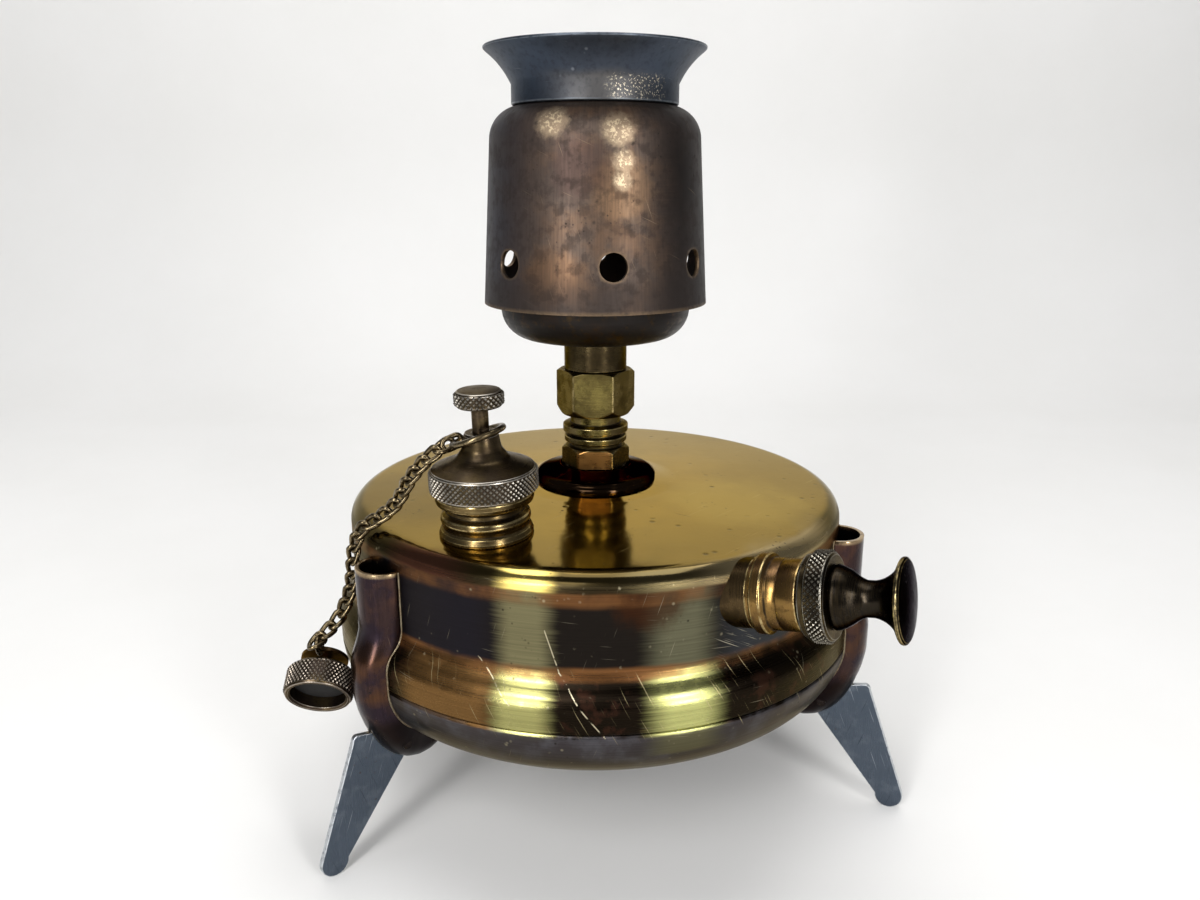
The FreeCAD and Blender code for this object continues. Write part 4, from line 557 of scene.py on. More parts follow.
def unrolled(where, radius):
    """The coordinates of an upright piece, radius mm wide, unrolled round it: X along it and Y up."""
    split = add(where, SPLIT, {"Vector": where}).outputs
    ahead = add(where, MATH, {0: split["Y"], 1: -1.0}, operation="MULTIPLY")
    angle = add(where, MATH, {0: split["X"], 1: ahead}, operation="ARCTAN2")
    run = add(where, MATH, {0: angle, 1: radius * MM}, operation="MULTIPLY")
    return add(where, JOIN, {"X": run, "Y": split["Z"]})


def strip(flat, middle, half, soft, rag=0.0):
    """An upright strip of an unrolled surface: its middle, half width, soft border and rag in mm."""
    split = add(flat, SPLIT, {"Vector": flat})
    lines = streaks(flat, 14, 0.3, 0.5, 0.4, 3.0)
    place = add(flat, MATH, {0: lines, 1: rag * MM, 2: split}, operation="MULTIPLY_ADD")
    off = add(flat, MATH, {0: place, 1: (middle + rag / 2) * MM}, operation="SUBTRACT")
    side = add(flat, MATH, {0: off}, operation="ABSOLUTE")
    return add(flat, RANGE, {"Value": side, "From Min": (half - soft) * MM, "From Max": (half + soft) * MM,
                             **FALLING}, **EASED)


def away(where, low, high):
    """The distance from the upright axis: 0 up to low mm and 1 from high mm on."""
    flat = add(where, VECTOR, {0: where, 1: (1, 1, 0)}, operation="MULTIPLY")
    far = add(where, VECTOR, {0: flat}, operation="LENGTH").outputs["Value"]
    return add(where, RANGE, {"Value": far, "From Min": low * MM, "From Max": high * MM}, **EASED)


def wear_of(where, name):
    """How worn or dirty a piece is, as its attribute edge or hollow says."""
    return add(where, "ShaderNodeAttribute", attribute_name=name).outputs["Fac"]


def crisp(where, name, low, high):
    """The edges or hollows of a piece, only where the attribute is above low, whole from high on."""
    return add(where, RANGE, {"Value": wear_of(where, name), "From Min": low, "From Max": high})


def scratch(flat, start, end, width):
    """One long scratch between two places of an unrolled surface, in mm."""
    start, end = Vector((*start, 0)) * MM, Vector((*end, 0)) * MM
    way = end - start
    off = add(flat, VECTOR, {0: flat, 1: start}, operation="SUBTRACT")
    run = add(flat, VECTOR, {0: off, 1: way / way.length_squared}, operation="DOT_PRODUCT").outputs["Value"]
    held = add(flat, "ShaderNodeClamp", {"Value": run})
    near = add(flat, VECTOR, {0: way, "Scale": held}, operation="SCALE")
    far = add(flat, VECTOR, {0: off, 1: near}, operation="DISTANCE").outputs["Value"]
    return add(flat, RANGE, {"Value": far, "From Min": width * 0.4 * MM, "From Max": width * MM, **FALLING})


def both(first, second):
    """Where two masks meet."""
    return add(first, MATH, {0: first, 1: second}, operation="MULTIPLY")


def pits(where, size, share, seed=0.0, cluster=9.0):
    """Small dark pits, size mm apart, in clusters."""
    cells = add(where, "ShaderNodeTexVoronoi", {"Vector": where, "W": seed, "Scale": 1 / (size * MM)},
                voronoi_dimensions="4D")
    dot = add(where, RANGE, {"Value": cells, "From Min": 0.1, "From Max": 0.3, **FALLING})
    return both(dot, patches(where, cluster, share, 0.04, seed + 3))


def zone(where, low, high, soft):
    """A band between two heights in mm, with a wavering border."""
    waver = add(where, NOISE, {"Vector": where, "Scale": 1 / (WAVER * MM), "Detail": 3.0})
    up = add(where, SPLIT, {"Vector": where}).outputs["Z"]
    height = add(where, MATH, {0: waver, 1: soft * MM, 2: up}, operation="MULTIPLY_ADD")
    low, high, soft = (low + soft / 2) * MM, (high + soft / 2) * MM, soft * MM
    over, under = [add(where, RANGE, {"Value": height, "From Min": edge - soft / 2, "From Max": edge + soft / 2,
                                      **ends}, **EASED) for edge, ends in ((low, {}), (high, FALLING))]
    return both(over, under)


def spot(where, middle, size, broken=0.5):
    """A ragged patch about size mm in radius round one place, given in mm."""
    middle, = metres([middle])
    far = add(where, VECTOR, {0: where, 1: middle}, operation="DISTANCE").outputs["Value"]
    rag = add(where, NOISE, {"Vector": where, "Scale": 2.5 / (size * MM), "Detail": 6.0, "Roughness": 0.65})
    edge = add(where, MATH, {0: rag, 1: 2 * broken * size * MM, 2: far}, operation="MULTIPLY_ADD")
    reach = (1 + broken) * size * MM
    return add(where, RANGE, {"Value": edge, "From Min": reach * 0.7, "From Max": reach * 1.15, **FALLING},
               **EASED)


def worn(where, name, size=1.2, share=0.6):
    """The edges or the hollows of a piece, broken up as wear and dirt are."""
    return both(wear_of(where, name), patches(where, size, share, 0.15, 11.0))


def rgba(shade):
    """A hex code, or the colour of a setting, as a node takes it."""
    return [*(linear(shade) if isinstance(shade, str) else shade), 1]


def laid(material, ground, rough, layers, metallic=1.0, sheen=None, **shader):
    """Lay a finish's layers on its ground: each is (mask, colour, cover, roughness, height in mm, metal).

    What a layer leaves out at its end is 0."""
    tree = material.node_tree
    tone = rgba(ground)
    sums = [rough, 0.0, metallic]
    for mask, tint, cover, *changes in layers:
        if tint is not None:
            tone = add(tree, "ShaderNodeMix", {
                0: both(mask, cover), 6: tone, 7: rgba(tint)}, data_type="RGBA").outputs[2]
        for place, (change, unit) in enumerate(zip(changes, (1, MM, 1))):
            if change:
                sums[place] = add(tree, MATH, {0: mask, 1: change * unit, 2: sums[place]},
                                  operation="MULTIPLY_ADD")
    held = add(tree, "ShaderNodeClamp", {"Value": sums[0], "Min": GLOSSIEST, "Max": DULLEST})
    raised = add(tree, "ShaderNodeBump", {"Height": sums[1], "Distance": 1.0, "Strength": 1.0})
    if sheen:
        shader["Specular Tint"] = rgba(sheen)
    surface = add(tree, "ShaderNodeBsdfPrincipled", {
        "Base Color": tone, "Roughness": held, "Metallic": sums[2], "Normal": raised, **shader})
    add(tree, "ShaderNodeOutputMaterial", {"Surface": surface})
    return material


def begun(name):
    """A new finish: its material and its coordinates."""
    material = bpy.data.materials.new(name)
    material.use_nodes = True
    material.node_tree.nodes.clear()
    return material, add(material.node_tree, "ShaderNodeTexCoord").outputs["Object"]


def tank_brass(settings):
    """Pressed sheet brass, polished on top: a warm mirror with fine scratches and small nicks.
    The wall is brushed round the tank under a dark film of painted dark reflection, with two upright strips of
    painted highlight. The bulge is near black with painted dark reflection between the same painted highlights
    and heat stains, and an orange painted highlight runs along the top of its step."""
    material, where = begun("pressed_sheet_brass")
    flat = unrolled(where, WALL_RADIUS)
    around = add(where, "ShaderNodeTangent", direction_type="RADIAL", axis="Z")
    brushed = streaks(flat, 26, 0.3, seed=2.0)
    side = zone(where, 20, 64.6, 1.2)
    top = zone(where, 65.6, 72, 0.6)
    upright = zone(where, 48.4, 63.2, 1.6)
    ring = zone(where, 36.6, 48.0, 1.6)
    shoulder = zone(where, 63.0, 66.1, 0.6)
    # The two upright strips where the lamps' reflections fall: the lighter colours laid in them are painted
    # highlights.
    left, right = strip(flat, -12.6, 4.4, 2.2, 2.4), strip(flat, 15.2, 5.2, 3.2, 2.4)
    layers = [
        (away(where, 12.2, 18.0), None, 0, 0, -0.45),
        (away(where, 22, 46), "#86703E", 0.65, 0.03),
        (spot(where, (-34, -8, 67), 20, 0.3), "#6E5C3E", 0.7, 0.04),
        (spot(where, (30, -14, 67), 15, 0.3), "#B09650", 0.6, -0.02),
        (patches(where, 14, 0.4, 0.14, 1.0), "#87703C", 0.45, 0.03),
        (patches(where, 40, 0.5, 0.2, 4.0), None, 0, 0, settings.dent / MM),
        (both(top, pits(where, 2.6, 0.42, 7.0, 12.0)), "#2E2110", 0.85, 0.15, -0.05),
        (both(top, scratches(where, 0.09, 3.0, 0.5)), "#4A3818", 0.6, 0.1, -0.006),
        (both(top, scratches(where, 0.08, 8.0, 2.3)), "#D8C48C", 0.5, 0.1, -0.006),
        # Painted dark reflection: the side and the wall are painted dark for the room they reflect, with
        # blue-grey painted reflection in strips to the left and right.
        (side, "#3A3020", 0.92, 0.1),
        (upright, settings.wall, 0.92, 0.08),
        (both(upright, strip(flat, -36, 17, 5)), "#201F27", 0.8),
        (both(upright, strip(flat, 33, 9, 5)), "#383B40", 0.8),
        (both(upright, left), "#7E7858", 0.85, -0.03),
        (both(upright, right), "#6A6852", 0.85, -0.03),
        (both(upright, spot(where, (9.5, -51.6, 63), 7.5, 0.4)), "#3C2212", 0.75),
        (both(zone(where, 60.6, 63.6, 1.4), patches(where, 16, 0.55, 0.12, 6.0)), settings.stain_and_highlight, 0.7),
        # Painted dark reflection: the bulge is near black between its strips. The orange strip on its left and
        # the two pale strips are painted highlights, and so is the orange line along the step's top.
        (ring, "#16110D", 0.95),
        (both(ring, patches(where, 4, 0.35, 0.06, 9.0)), "#3A241B", 0.6, 0.05),
        (both(ring, strip(flat, -27, 9, 3, 3)), "#7A5A34", 0.85),
        (both(ring, left), "#A8A468", 0.95, -0.02),
        (both(ring, right), "#C0C07A", 0.95, -0.02),
        (both(zone(where, 46.9, 49.0, 1.0), patches(where, 13, 0.62, 0.16, 3.0)), settings.stain_and_highlight, 0.85),
        # Painted dark reflection over the rounded shoulder, with painted highlights in its pale strips and
        # painted reflection in its brown and olive strips.
        (shoulder, "#2E281A", 0.88),
        (both(shoulder, strip(flat, 38, 16, 8, 4)), "#C4AE80", 0.9, -0.03),
        (both(shoulder, strip(flat, -34, 8, 5, 4)), "#6E4636", 0.8),
        (both(shoulder, left), "#C4AE60", 0.9),
        (both(shoulder, strip(flat, 12, 6, 4, 3)), "#5C5238", 0.75),
        (zone(where, 20, 37.3, 0.5), settings.pan, 0.95, 0.06),
        (both(zone(where, 26, 38, 1), patches(where, 8, 0.4, 0.1, 7.0)), "#5E5D62", 0.6, 0.05),
        # A painted highlight: the right strip running on down the top of the pan.
        (both(zone(where, 33, 37.3, 1), right), "#6E6A4C", 0.7),
        (both(side, brushed), "#14110F", 0.22, 0.1, 0.0012),
        (both(side, scratches(flat, 0.06, 1.0, 0.1)), "#A8A088", 0.5, 0.1, -0.004),
        (both(side, scratches(flat, 0.06, 5.0, 1.9)), "#A8A088", 0.5, 0.1, -0.004),
        (both(ring, scratches(flat, 0.07, 6.0, 1.1, 0.74)), "#B8AA80", 0.6, 0.1, -0.005),
        (both(spot(where, (25, -46, 53), 5.0, 0.5), scratches(flat, 0.06, 4.0, 0.5, 0.72)), "#C2BBA4", 0.8,
         0.15, -0.006),
        (pits(where, 1.0, 0.28, 2.0), "#0E0A07", 0.85, 0.2, -0.02, -0.3),
        (both(side, pits(where, 1.3, 0.35, 9.0, 7.0)), "#B4AA8C", 0.5, 0.1, 0.01),
        (worn(where, "hollow"), "#1C140C", 0.8, 0.2),
        (both(top, worn(where, "edge")), "#C4AE74", 0.6, -0.04),
    ]
    lines = patches(where, 1.6, 0.62, 0.05, 2.0, 2.0)
    for start, end in (((-8.9, 56), (-6.4, 48.2)), ((-6.4, 48.2), (1.5, 37.6)), ((-21.4, 49.4), (-14.4, 42.8))):
        layers.append((both(scratch(flat, start, end, 0.14), lines), "#C8BEA0", 0.8, 0.1, -0.02))
    return laid(material, settings.brass, 0.09, layers, sheen="#F0E6CE",
                **{"Anisotropic": both(side, 0.7), "Tangent": around})


def turned_brass(settings, name, ground=None, film=None, rough=0.2, front=None, sheen="#C4BAA6"):
    """Lathe-turned brass with an olive film: soft sheen, fine turning lines, bright rubbed edges.
    A front colour, when given, is painted light: a lighter front and an orange painted highlight on the hex's
    front face.
    """
    material, where = begun(name)
    turning = add(where, "ShaderNodeUVMap", uv_map="turning")
    layers = [
        (patches(where, 7, 0.5, 0.12, 1.0), film or settings.film, 0.75, 0.08),
        (patches(where, 2.2, 0.35, 0.08, 6.0), settings.dark, 0.4, 0.1),
        (streaks(turning, 9, 0.16, seed=3.0), "#463A24", 0.3, 0.08, 0.0016),
        (pits(where, 0.7, 0.3, 5.0, 4.0), "#1E160E", 0.7, 0.2, -0.015, -0.2),
        (worn(where, "hollow", 2.0, 0.8), settings.dark, 0.9, 0.2, 0, -0.3),
        (worn(where, "edge"), "#D6C088", 0.55, -0.05),
    ]
    # Painted light: a lighter upright strip on the front, with an orange painted highlight on the front face of
    # the hex, 71 to 75 mm up.
    if front:
        ahead = strip(unrolled(where, 7), -0.4, 3.7, 0.5)
        layers.insert(0, (ahead, front, 0.9))
        layers.append((both(ahead, zone(where, 71, 75, 0.3)), "#B8864C", 0.85))
    return laid(material, ground or settings.brass, rough, layers, sheen=sheen)


def knurled_brass(settings, name="knurled_brass", tip=None, ground="#483D30", rough=0.26):
    """Turned and knurled brass: dirt in the grooves and silvery, rubbed tips."""
    material, where = begun(name)
    turning = add(where, "ShaderNodeUVMap", uv_map="turning")
    layers = [
        (patches(where, 5, 0.45, 0.12, 1.0), "#5E5034", 0.7, 0.02),
        (patches(where, 2.5, 0.35, 0.08, 4.0), "#2A2117", 0.6, 0.1),
        (streaks(turning, 8, 0.15, seed=6.0), "#241D15", 0.35, 0.08, 0.0015),
        (crisp(where, "hollow", 1.1, 1.6), settings.dark, 0.95, 0.2, 0, -0.3),
        (both(crisp(where, "edge", 0.3, 0.8), patches(where, 1.6, 0.8, 0.15, 11.0)), tip or settings.silver,
         0.95, -0.02),
    ]
    return laid(material, ground, rough, layers, sheen="#D6D0C6")


def dark_reflection_flange(settings):
    """Brass painted glossy and near black as painted dark reflection of the burner above it, with brown
    patches, and gold along its edges that is partly wear and partly painted highlight.
    """
    material, where = begun("painted_dark_reflection_flange")
    layers = [
        (patches(where, 6, 0.35, 0.08, 2.0), "#2B1D10", 0.8, 0.03),
        (patches(where, 1.4, 0.25, 0.05, 5.0), "#4E3A20", 0.35, 0.03, 0.002),
        (worn(where, "edge", 2.0, 0.4), "#A8864A", 0.6),
    ]
    return laid(material, settings.flange, 0.12, layers, sheen="#8C8070")


def browned_brass(settings):
    """Sheet brass browned by heat: a dry, mottled oxide with a coppery bloom, a lighter front as painted light,
    painted shade at the flanks, and a few painted highlights, soft and speckled."""
    material, where = begun("heat_browned_brass")
    flat = unrolled(where, 22)
    front = strip(flat, 0.5, 11, 7, 2)
    painted_highlight = [((-8.0, -19.2, 141.2), 2.4), ((4.2, -20.4, 139.4), 2.4), ((5.2, -20.9, 134.0), 1.6),
            ((5.0, -21.2, 130.5), 1.4)]
    layers = [
        # Painted light: a lighter front, then painted shade in the two flank strips. The coppery bloom lies on
        # the lit front only.
        (front, "#5E5046", 0.85, -0.02),
        (strip(flat, -27, 10, 6, 2), "#35353D", 0.9),
        (strip(flat, 26, 13, 6, 2), "#120F0E", 0.88),
        (patches(where, 12, 0.45, 0.12, 1.0), "#3E3531", 0.6, 0.04),
        (both(front, patches(where, 8, 0.45, 0.1, 3.0)), settings.copper, 0.6, -0.04),
        (spot(where, (4.8, -21, 129), 6.5), "#86694E", 0.6, -0.04, 0, 0.1),
        (spot(where, (-8, -20, 113), 6), settings.copper, 0.6, -0.04, 0, 0.1),
        (both(spot(where, (-3, -22, 133), 6), front), "#4A3630", 0.6),
        (patches(where, 2.2, 0.4, 0.08, 8.0), "#2C2420", 0.45, 0.08, 0.004),
        (streaks(flat, 0.4, 7, seed=4.0), "#332B27", 0.3, 0.05, 0.001),
        (pits(where, 0.8, 0.4, 2.0, 5.0), "#15100E", 0.8, 0.15, -0.015, -0.2),
        (pits(where, 1.7, 0.4, 6.0, 8.0), "#15100E", 0.7, 0.15, -0.02, -0.2),
        (scratches(flat, 0.07, 3.0, 1.2), "#A08A70", 0.5, -0.02, -0.006, 0.1),
        (scratches(flat, 0.07, 6.0, 0.4), "#A08A70", 0.4, -0.02, -0.006, 0.1),
        (zone(where, 104, 112, 5.0), "#332C29", 0.65, 0.05),
        (zone(where, 143.4, 145.0, 0.6), "#2A2320", 0.6, 0.05),
        (worn(where, "edge", 1.2, 0.75), "#857058", 0.6, -0.1, 0, 0.2),
    ]
    # Painted highlights: each is a soft pale painted sheen with bright speckles in it.
    for middle, size in painted_highlight:
        painted_sheen = spot(where, middle, size * 1.4, 0.5)
        speckled_highlight = both(spot(where, middle, size, 0.9), patches(where, 0.55, 0.42, 0.04, size))
        layers += [(painted_sheen, "#A08C74", 0.7, 0, 0, 0.1), (speckled_highlight, settings.painted_highlight, 0.7, 0, 0, 0.1)]
    return laid(material, settings.brown, 0.47, layers, metallic=0.8)


def sooty_brass(settings, name="sooty_brass"):
    """Brass under baked soot: dull, dark brown, with brass glinting at the rubbed edges."""
    material, where = begun(name)
    layers = [
        (patches(where, 6, 0.4, 0.1, 2.0), "#2E2219", 0.7, -0.1, 0, 0.1),
        (patches(where, 1.5, 0.3, 0.06, 5.0), "#5A462A", 0.3, -0.12, 0.004, 0.2),
        (streaks(where, 0.5, 6, seed=4.0, axis=2), "#1A130E", 0.4, 0.08, 0.002),
        (pits(where, 0.8, 0.4, 2.0, 5.0), "#0F0B08", 0.7, 0.1, -0.015),
        (worn(where, "edge", 1.0, 0.6), "#9A7A48", 0.7, -0.15, 0, 0.2),
    ]
    return laid(material, settings.soot, 0.48, layers, metallic=0.7)


def blued_steel(settings):
    """Sheet steel blued by the flame: a soft blue-grey oxide, with painted shade on the left and painted light
    at the front, and pale specks on the neck that are partly worn metal and partly painted highlights.
    """
    material, where = begun("flame_blued_steel")
    flat = unrolled(where, 18)
    front = strip(flat, 2, 9, 8, 1)
    neck = both(spot(where, (8, -14, 147.0), 6, 0.3), zone(where, 145, 149.2, 0.8))
    worn_specks_and_highlights = both(neck, patches(where, 0.4, 0.3, 0.04, 4.0))
    layers = [
        # Painted shade on the left and painted light on the front; the lighter front of the neck is a painted
        # highlight.
        (strip(flat, -20, 10, 8, 1), "#303A48", 0.8),
        (front, "#474B54", 0.6),
        (patches(where, 9, 0.4, 0.14, 5.0), "#2A2F37", 0.45, 0.05),
        (both(zone(where, 143.5, 149.5, 2.0), front), "#5C5853", 0.65),
        (patches(where, 1.0, 0.35, 0.1, 8.0), "#22252B", 0.3, 0.06, 0.003),
        (scratches(flat, 0.06, 3.0, 0.1), "#8E949C", 0.5, -0.03, -0.003),
        (pits(where, 1.4, 0.35, 3.0, 8.0), "#8A8F96", 0.5, 0.05, 0.01),
        # Pale specks on the neck: partly worn metal, partly painted highlights.
        (worn_specks_and_highlights, "#DDD2B8", 0.9, -0.06, 0.006, 0.1),
        (worn(where, "edge", 1.2, 0.7), "#7E858C", 0.5, -0.1, 0, 0.1),
    ]
    return laid(material, settings.blue, 0.42, layers, metallic=0.85)


def patinated_brass(settings):
    """Drawn brass with a purple-brown patina, copper-coloured where it is thin, and bright cut edges."""
    material, where = begun("patinated_brass")
    flat = unrolled(where, 58)
    layers = [
        (patches(where, 9, 0.5, 0.12, 1.0), settings.copper, 0.5, -0.04),
        (patches(where, 5, 0.45, 0.1, 4.0), "#29232D", 0.75, 0.03),
        (both(zone(where, 36, 46, 3.0), patches(where, 5, 0.5, 0.14, 3.0)), "#5E4026", 0.6, -0.04),
        (zone(where, 15, 31, 4.0), "#17110F", 0.9, 0.06),
        (streaks(flat, 0.4, 10, seed=4.0), "#1C1617", 0.35, 0.06, 0.001),
        (pits(where, 1.2, 0.4, 6.0, 6.0), "#0E0A0A", 0.75, 0.15, -0.015, -0.2),
        (scratches(flat, 0.06, 3.0, 1.4), "#A08468", 0.5, -0.02, -0.006),
        (worn(where, "edge", 1.6, 0.8), "#BFA680", 0.8, -0.05),
    ]
    return laid(material, settings.patina, 0.24, layers)


def patched(name, ground, rough, *rows, metallic=1.0):
    """A finish of patches alone: each row is (size, share, border, seed, colour, cover, roughness, height)."""
    material, where = begun(name)
    return laid(material, ground, rough, [(patches(where, *row[:4]), *row[4:]) for row in rows], metallic)


def soft_solder(settings):
    """Soft solder run along a joint: dull silver, lumpy, with brown flux in its hollows."""
    return patched("soft_solder", settings.solder, 0.3, (2.0, 0.45, 0.1, 1.0, "#7E6A52", 0.7, 0.08),
                   (0.6, 0.4, 0.1, 3.0, "#54483A", 0.5, 0.05, 0.03))


def drawn_wire(name, ground, film):
    """Drawn wire: smooth, slightly dull along its length, dirty where links rub."""
    return patched(name, ground, 0.24, (2.5, 0.45, 0.1, 1.0, film, 0.7, 0.08),
                   (0.7, 0.3, 0.08, 5.0, "#3A2F20", 0.6, 0.1, 0.004))


def burnt_steel():
    """Steel plate scaled by the flame: rough, dark grey-brown."""
    return patched("flame_scaled_steel", "#38302B", 0.6, (3, 0.5, 0.1, 1.0, "#4A3D34", 0.7, 0.05, 0.01),
                   (0.8, 0.35, 0.06, 5.0, "#1A1613", 0.6, 0.1, 0.01), metallic=0.6)


def black_rubber():
    """Moulded fuel-proof rubber: matt black with a faint bloom."""
    return patched("moulded_rubber", "#0D0C0B", 0.75, (2, 0.4, 0.12, 1.0, "#1A1816", 0.6, 0.08, 0.004),
                   metallic=0)


def stage_paint(settings):
    """Matt pale paint of the floor and backdrop, with a faint cloudiness."""
    return patched("matt_stage_paint", settings.floor, 0.8, (90, 0.5, 0.2, 1.0, "#E4E3E0", 0.5, 0.02),
                   metallic=0)


def plated_steel(settings):
    """Rolled steel plate with thin plating: blue-grey sheen, long scratches, a bright battered edge."""
    material, where = begun("plated_steel")
    flat = add(where, "ShaderNodeUVMap", uv_map="turning")
    layers = [
        (patches(where, 12, 0.5, 0.14, 1.0), "#4C5560", 0.6, 0.06),
        (patches(where, 4, 0.3, 0.1, 5.0), "#7C848E", 0.4, -0.03),
        (streaks(flat, 0.3, 14, seed=2.0), "#4A525C", 0.3, 0.08, 0.001),
        (scratches(flat, 0.07, 2.0, 1.2, 0.76), "#A8AEB6", 0.6, 0.05, -0.004),
        (scratches(flat, 0.08, 6.0, 1.9, 0.76), "#2A3038", 0.6, 0.05, -0.004),
        (pits(where, 1.1, 0.35, 3.0, 6.0), "#3E322A", 0.7, 0.2, -0.012, -0.3),
        (worn(where, "edge", 1.0, 0.75), "#C4C8CC", 0.95, 0.08, 0.02),
    ]
    return laid(material, settings.plate, 0.22, layers)


def oiled_leather():
    """Oiled leather of the pump's cup: brown, pebbled grain about half a millimetre wide."""
    material, where = begun("oiled_leather")
    layers = [
        (patches(where, 3, 0.5, 0.12, 1.0), "#3A2416", 0.7, 0.05),
        (pits(where, 0.5, 0.8, 2.0, 6.0), "#22140C", 0.5, 0.1, -0.04),
    ]
    return laid(material, "#5A3A24", 0.45, layers, metallic=0.0)


# ---- tank

# Outside of the tank from the pan's middle up to the shoulder, then the top.
TANK_OUTSIDE = (
    [(0, 27.0, 0), (33, 27.0, 0), (35, 27.0, 0), (40, 26.0, 0)]
    + bend((43.5, 25.5), (56, 38), 12.5, 1, 16)
    + bend((56, 41.5), (54.25, 45.5), 5.4464, 1, 8)
    + bend((54.25, 45.5), (52.5, 49.5), 5.4464, -1, 8)[1:]
    + bend((52.5, 62.3), (48.5, 66.3), 4.0, 1, 10))
# Where the upper shell begins, and the longest face of the tank's outlines, in mm.
SEAM, FINE = 38.01, 2.5


class STOVE_OT_tank(bpy.types.Operator):
    """Make the tank's upper shell and bottom pan"""
    bl_idname = "stove.tank"
    bl_label = "Tank"

    def execute(self, context):
        settings = context.scene.stove_tank
        brass = tank_brass(settings)
        edge = settings.edge / MM
        outside = [point for point in TANK_OUTSIDE if point[1] > SEAM]
        shell = [(55.2, 38.05, edge), (56.0, 38.05, edge), *outside, (20, 67.43, 0), (5.65, 68.0, 0.3),
                 (5.65, 67.2, 0.1), (48.5, 65.5, 0), *bend((51.7, 62.3), (48.5, 65.5), 3.2, 1, 6)[-2:0:-1],
                 (51.7, 62.3, 0), (51.7, 49.5, 0), (55.2, 41.5, 0)]
        turned("tank_shell", subdivided(soften(shell, edge), FINE), "root", "tank_brass", brass,
               ["tank_upper_shell"], segments=256)
        under = [(0, 27.0, 0), (33, 27.0, 0), (40, 26.1, 0), *bend((43.5, 25.5), (56, 37.95), 12.5, 1, 16),
                 (55.15, 38.0, 0.1), (55.15, 41.2, 0.1), (54.35, 41.2, 0.1), (54.35, 37.2, 0), (50, 30, 0),
                 (43.5, 26.3, 0), (34.8, 27.8, 0), (0, 27.8, 0)]
        turned("tank_pan", subdivided(soften(under, 0.25, closed=False), FINE)[:-1], "root", "tank_brass",
               brass, ["tank_bottom_pan"], segments=256, closed=False)
        return {"FINISHED"}


# ---- riser and union nut

class STOVE_OT_riser(bpy.types.Operator):
    """Make the riser's flange and fitting and the union nut"""
    bl_idname = "stove.riser"
    bl_label = "Riser and union nut"

    def execute(self, context):
        settings = context.scene.stove_fitting
        # The riser's front colour is painted light on its front.
        brass = turned_brass(settings, "riser_brass", front="#7A6E3C")
        edge = settings.edge / MM
        flange = [(5.65, 68.05, 0), (13.0, 67.76, 0.1), (13.0, 68.9, 0),
                  *bend((13.0, 68.9), (11.4, 70.1), 1.9, 1, 6), (8.6, 70.9, 1.0), (7.73, 71.15, 0.3),
                  (5.65, 71.15, 0)]
        turned("riser_flange", soften(flange, 0.3), "root", "dark_flange", dark_reflection_flange(settings))
        fitting = [
            (2.5, 62.5), (5.6, 62.5), (5.6, 71.2), (7.33, 71.2), (7.33, 74.5), (6.5, 75.2), (5.44, 75.3),
            (5.44, 76.0), (6.7, 76.4), (6.7, 77.6), (5.44, 77.7), (5.44, 78.4), (7.0, 78.5), (7.0, 80.0),
            (5.44, 80.4), (5.44, 84.3), (4.24, 85.5), (2.5, 85.5)]
        turned("riser_fitting", subdivided(soften(fitting, edge), 0.3), "root", "fitting_brass", brass,
               flats=[(12.7, 0, 71.1, 75.25)])
        nut = [
            (5.52, 82.4), (7.2, 82.4), (8.37, 83.9), (8.37, 91.35), (7.5, 91.9), (4.68, 91.9), (4.68, 89.5),
            (5.52, 89.5)]
        turned("union_nut", subdivided(soften(nut, edge), 0.25), "union_nut", "fitting_brass", brass,
               flats=[(14.5, -4.0, 82.0, 92.0)])
        return {"FINISHED"}


# ---- burner

# A hole's radius and the reach of the grid that is drawn in to it, in cells of that grid.
HOLE_CELLS, HOLE_REACH = 5, 10
SHROUD_WIDE = 22.4


def holed_sheet(name, outline, holes, radius, height, segments=288):
    """An open turned sheet with round holes: (r, z) outline, azimuths of the holes and their height.

    The grid round a hole is drawn in from a square to the hole's circle."""
    cell = TURN * SHROUD_WIDE / segments
    rows = [row for row in sorted(set(round(point[1], 4) for point in outline))
            if abs(row - height) > (HOLE_REACH + 0.5) * cell]
    rows += [height + cell * step for step in range(-HOLE_REACH, HOLE_REACH + 1)]
    rows.sort()

    def radius_at(z):
        for (r1, z1), (r2, z2) in zip(outline, outline[1:]):
            if z1 <= z <= z2:
                return r1 + (r2 - r1) * (z - z1) / (z2 - z1)
        return outline[-1][0] if z > outline[-1][1] else outline[0][0]

    columns = [round((azimuth - 90) / 360 * segments) for azimuth in holes]
    middle = rows.index(min(rows, key=lambda row: abs(row - height)))
    spots, wear, gone = [], [], set()
    for row, z in enumerate(rows):
        for number in range(segments):
            angle, up, rub = TURN * number / segments, z, 0.0
            for column in columns:
                off = Vector(((number - column + segments // 2) % segments - segments // 2, row - middle))
                square = max(abs(off.x), abs(off.y))
                if square < HOLE_CELLS:
                    gone.add(row * segments + number)
                elif square <= HOLE_REACH:
                    share = (square - HOLE_CELLS) / (HOLE_REACH - HOLE_CELLS)
                    drawn = (off.normalized() * radius / cell).lerp(off / square * HOLE_REACH, share)
                    angle = TURN * (column + drawn.x) / segments
                    up = height + drawn.y * cell
                    rub = 1.0 if square == HOLE_CELLS else 0.0
            r = radius_at(up)
            spots.append((r * math.cos(angle), r * math.sin(angle), up))
            wear.append(max(rub, 1.0 if row == 0 else 0.0))
    faces = []
    for first in range(0, (len(rows) - 1) * segments, segments):
        for number in range(segments):
            after = (number + 1) % segments
            face = [first + number, first + after, first + segments + after, first + segments + number]
            if not gone & set(face):
                faces.append(face)
    return mesh_of(name, spots, faces, wear)


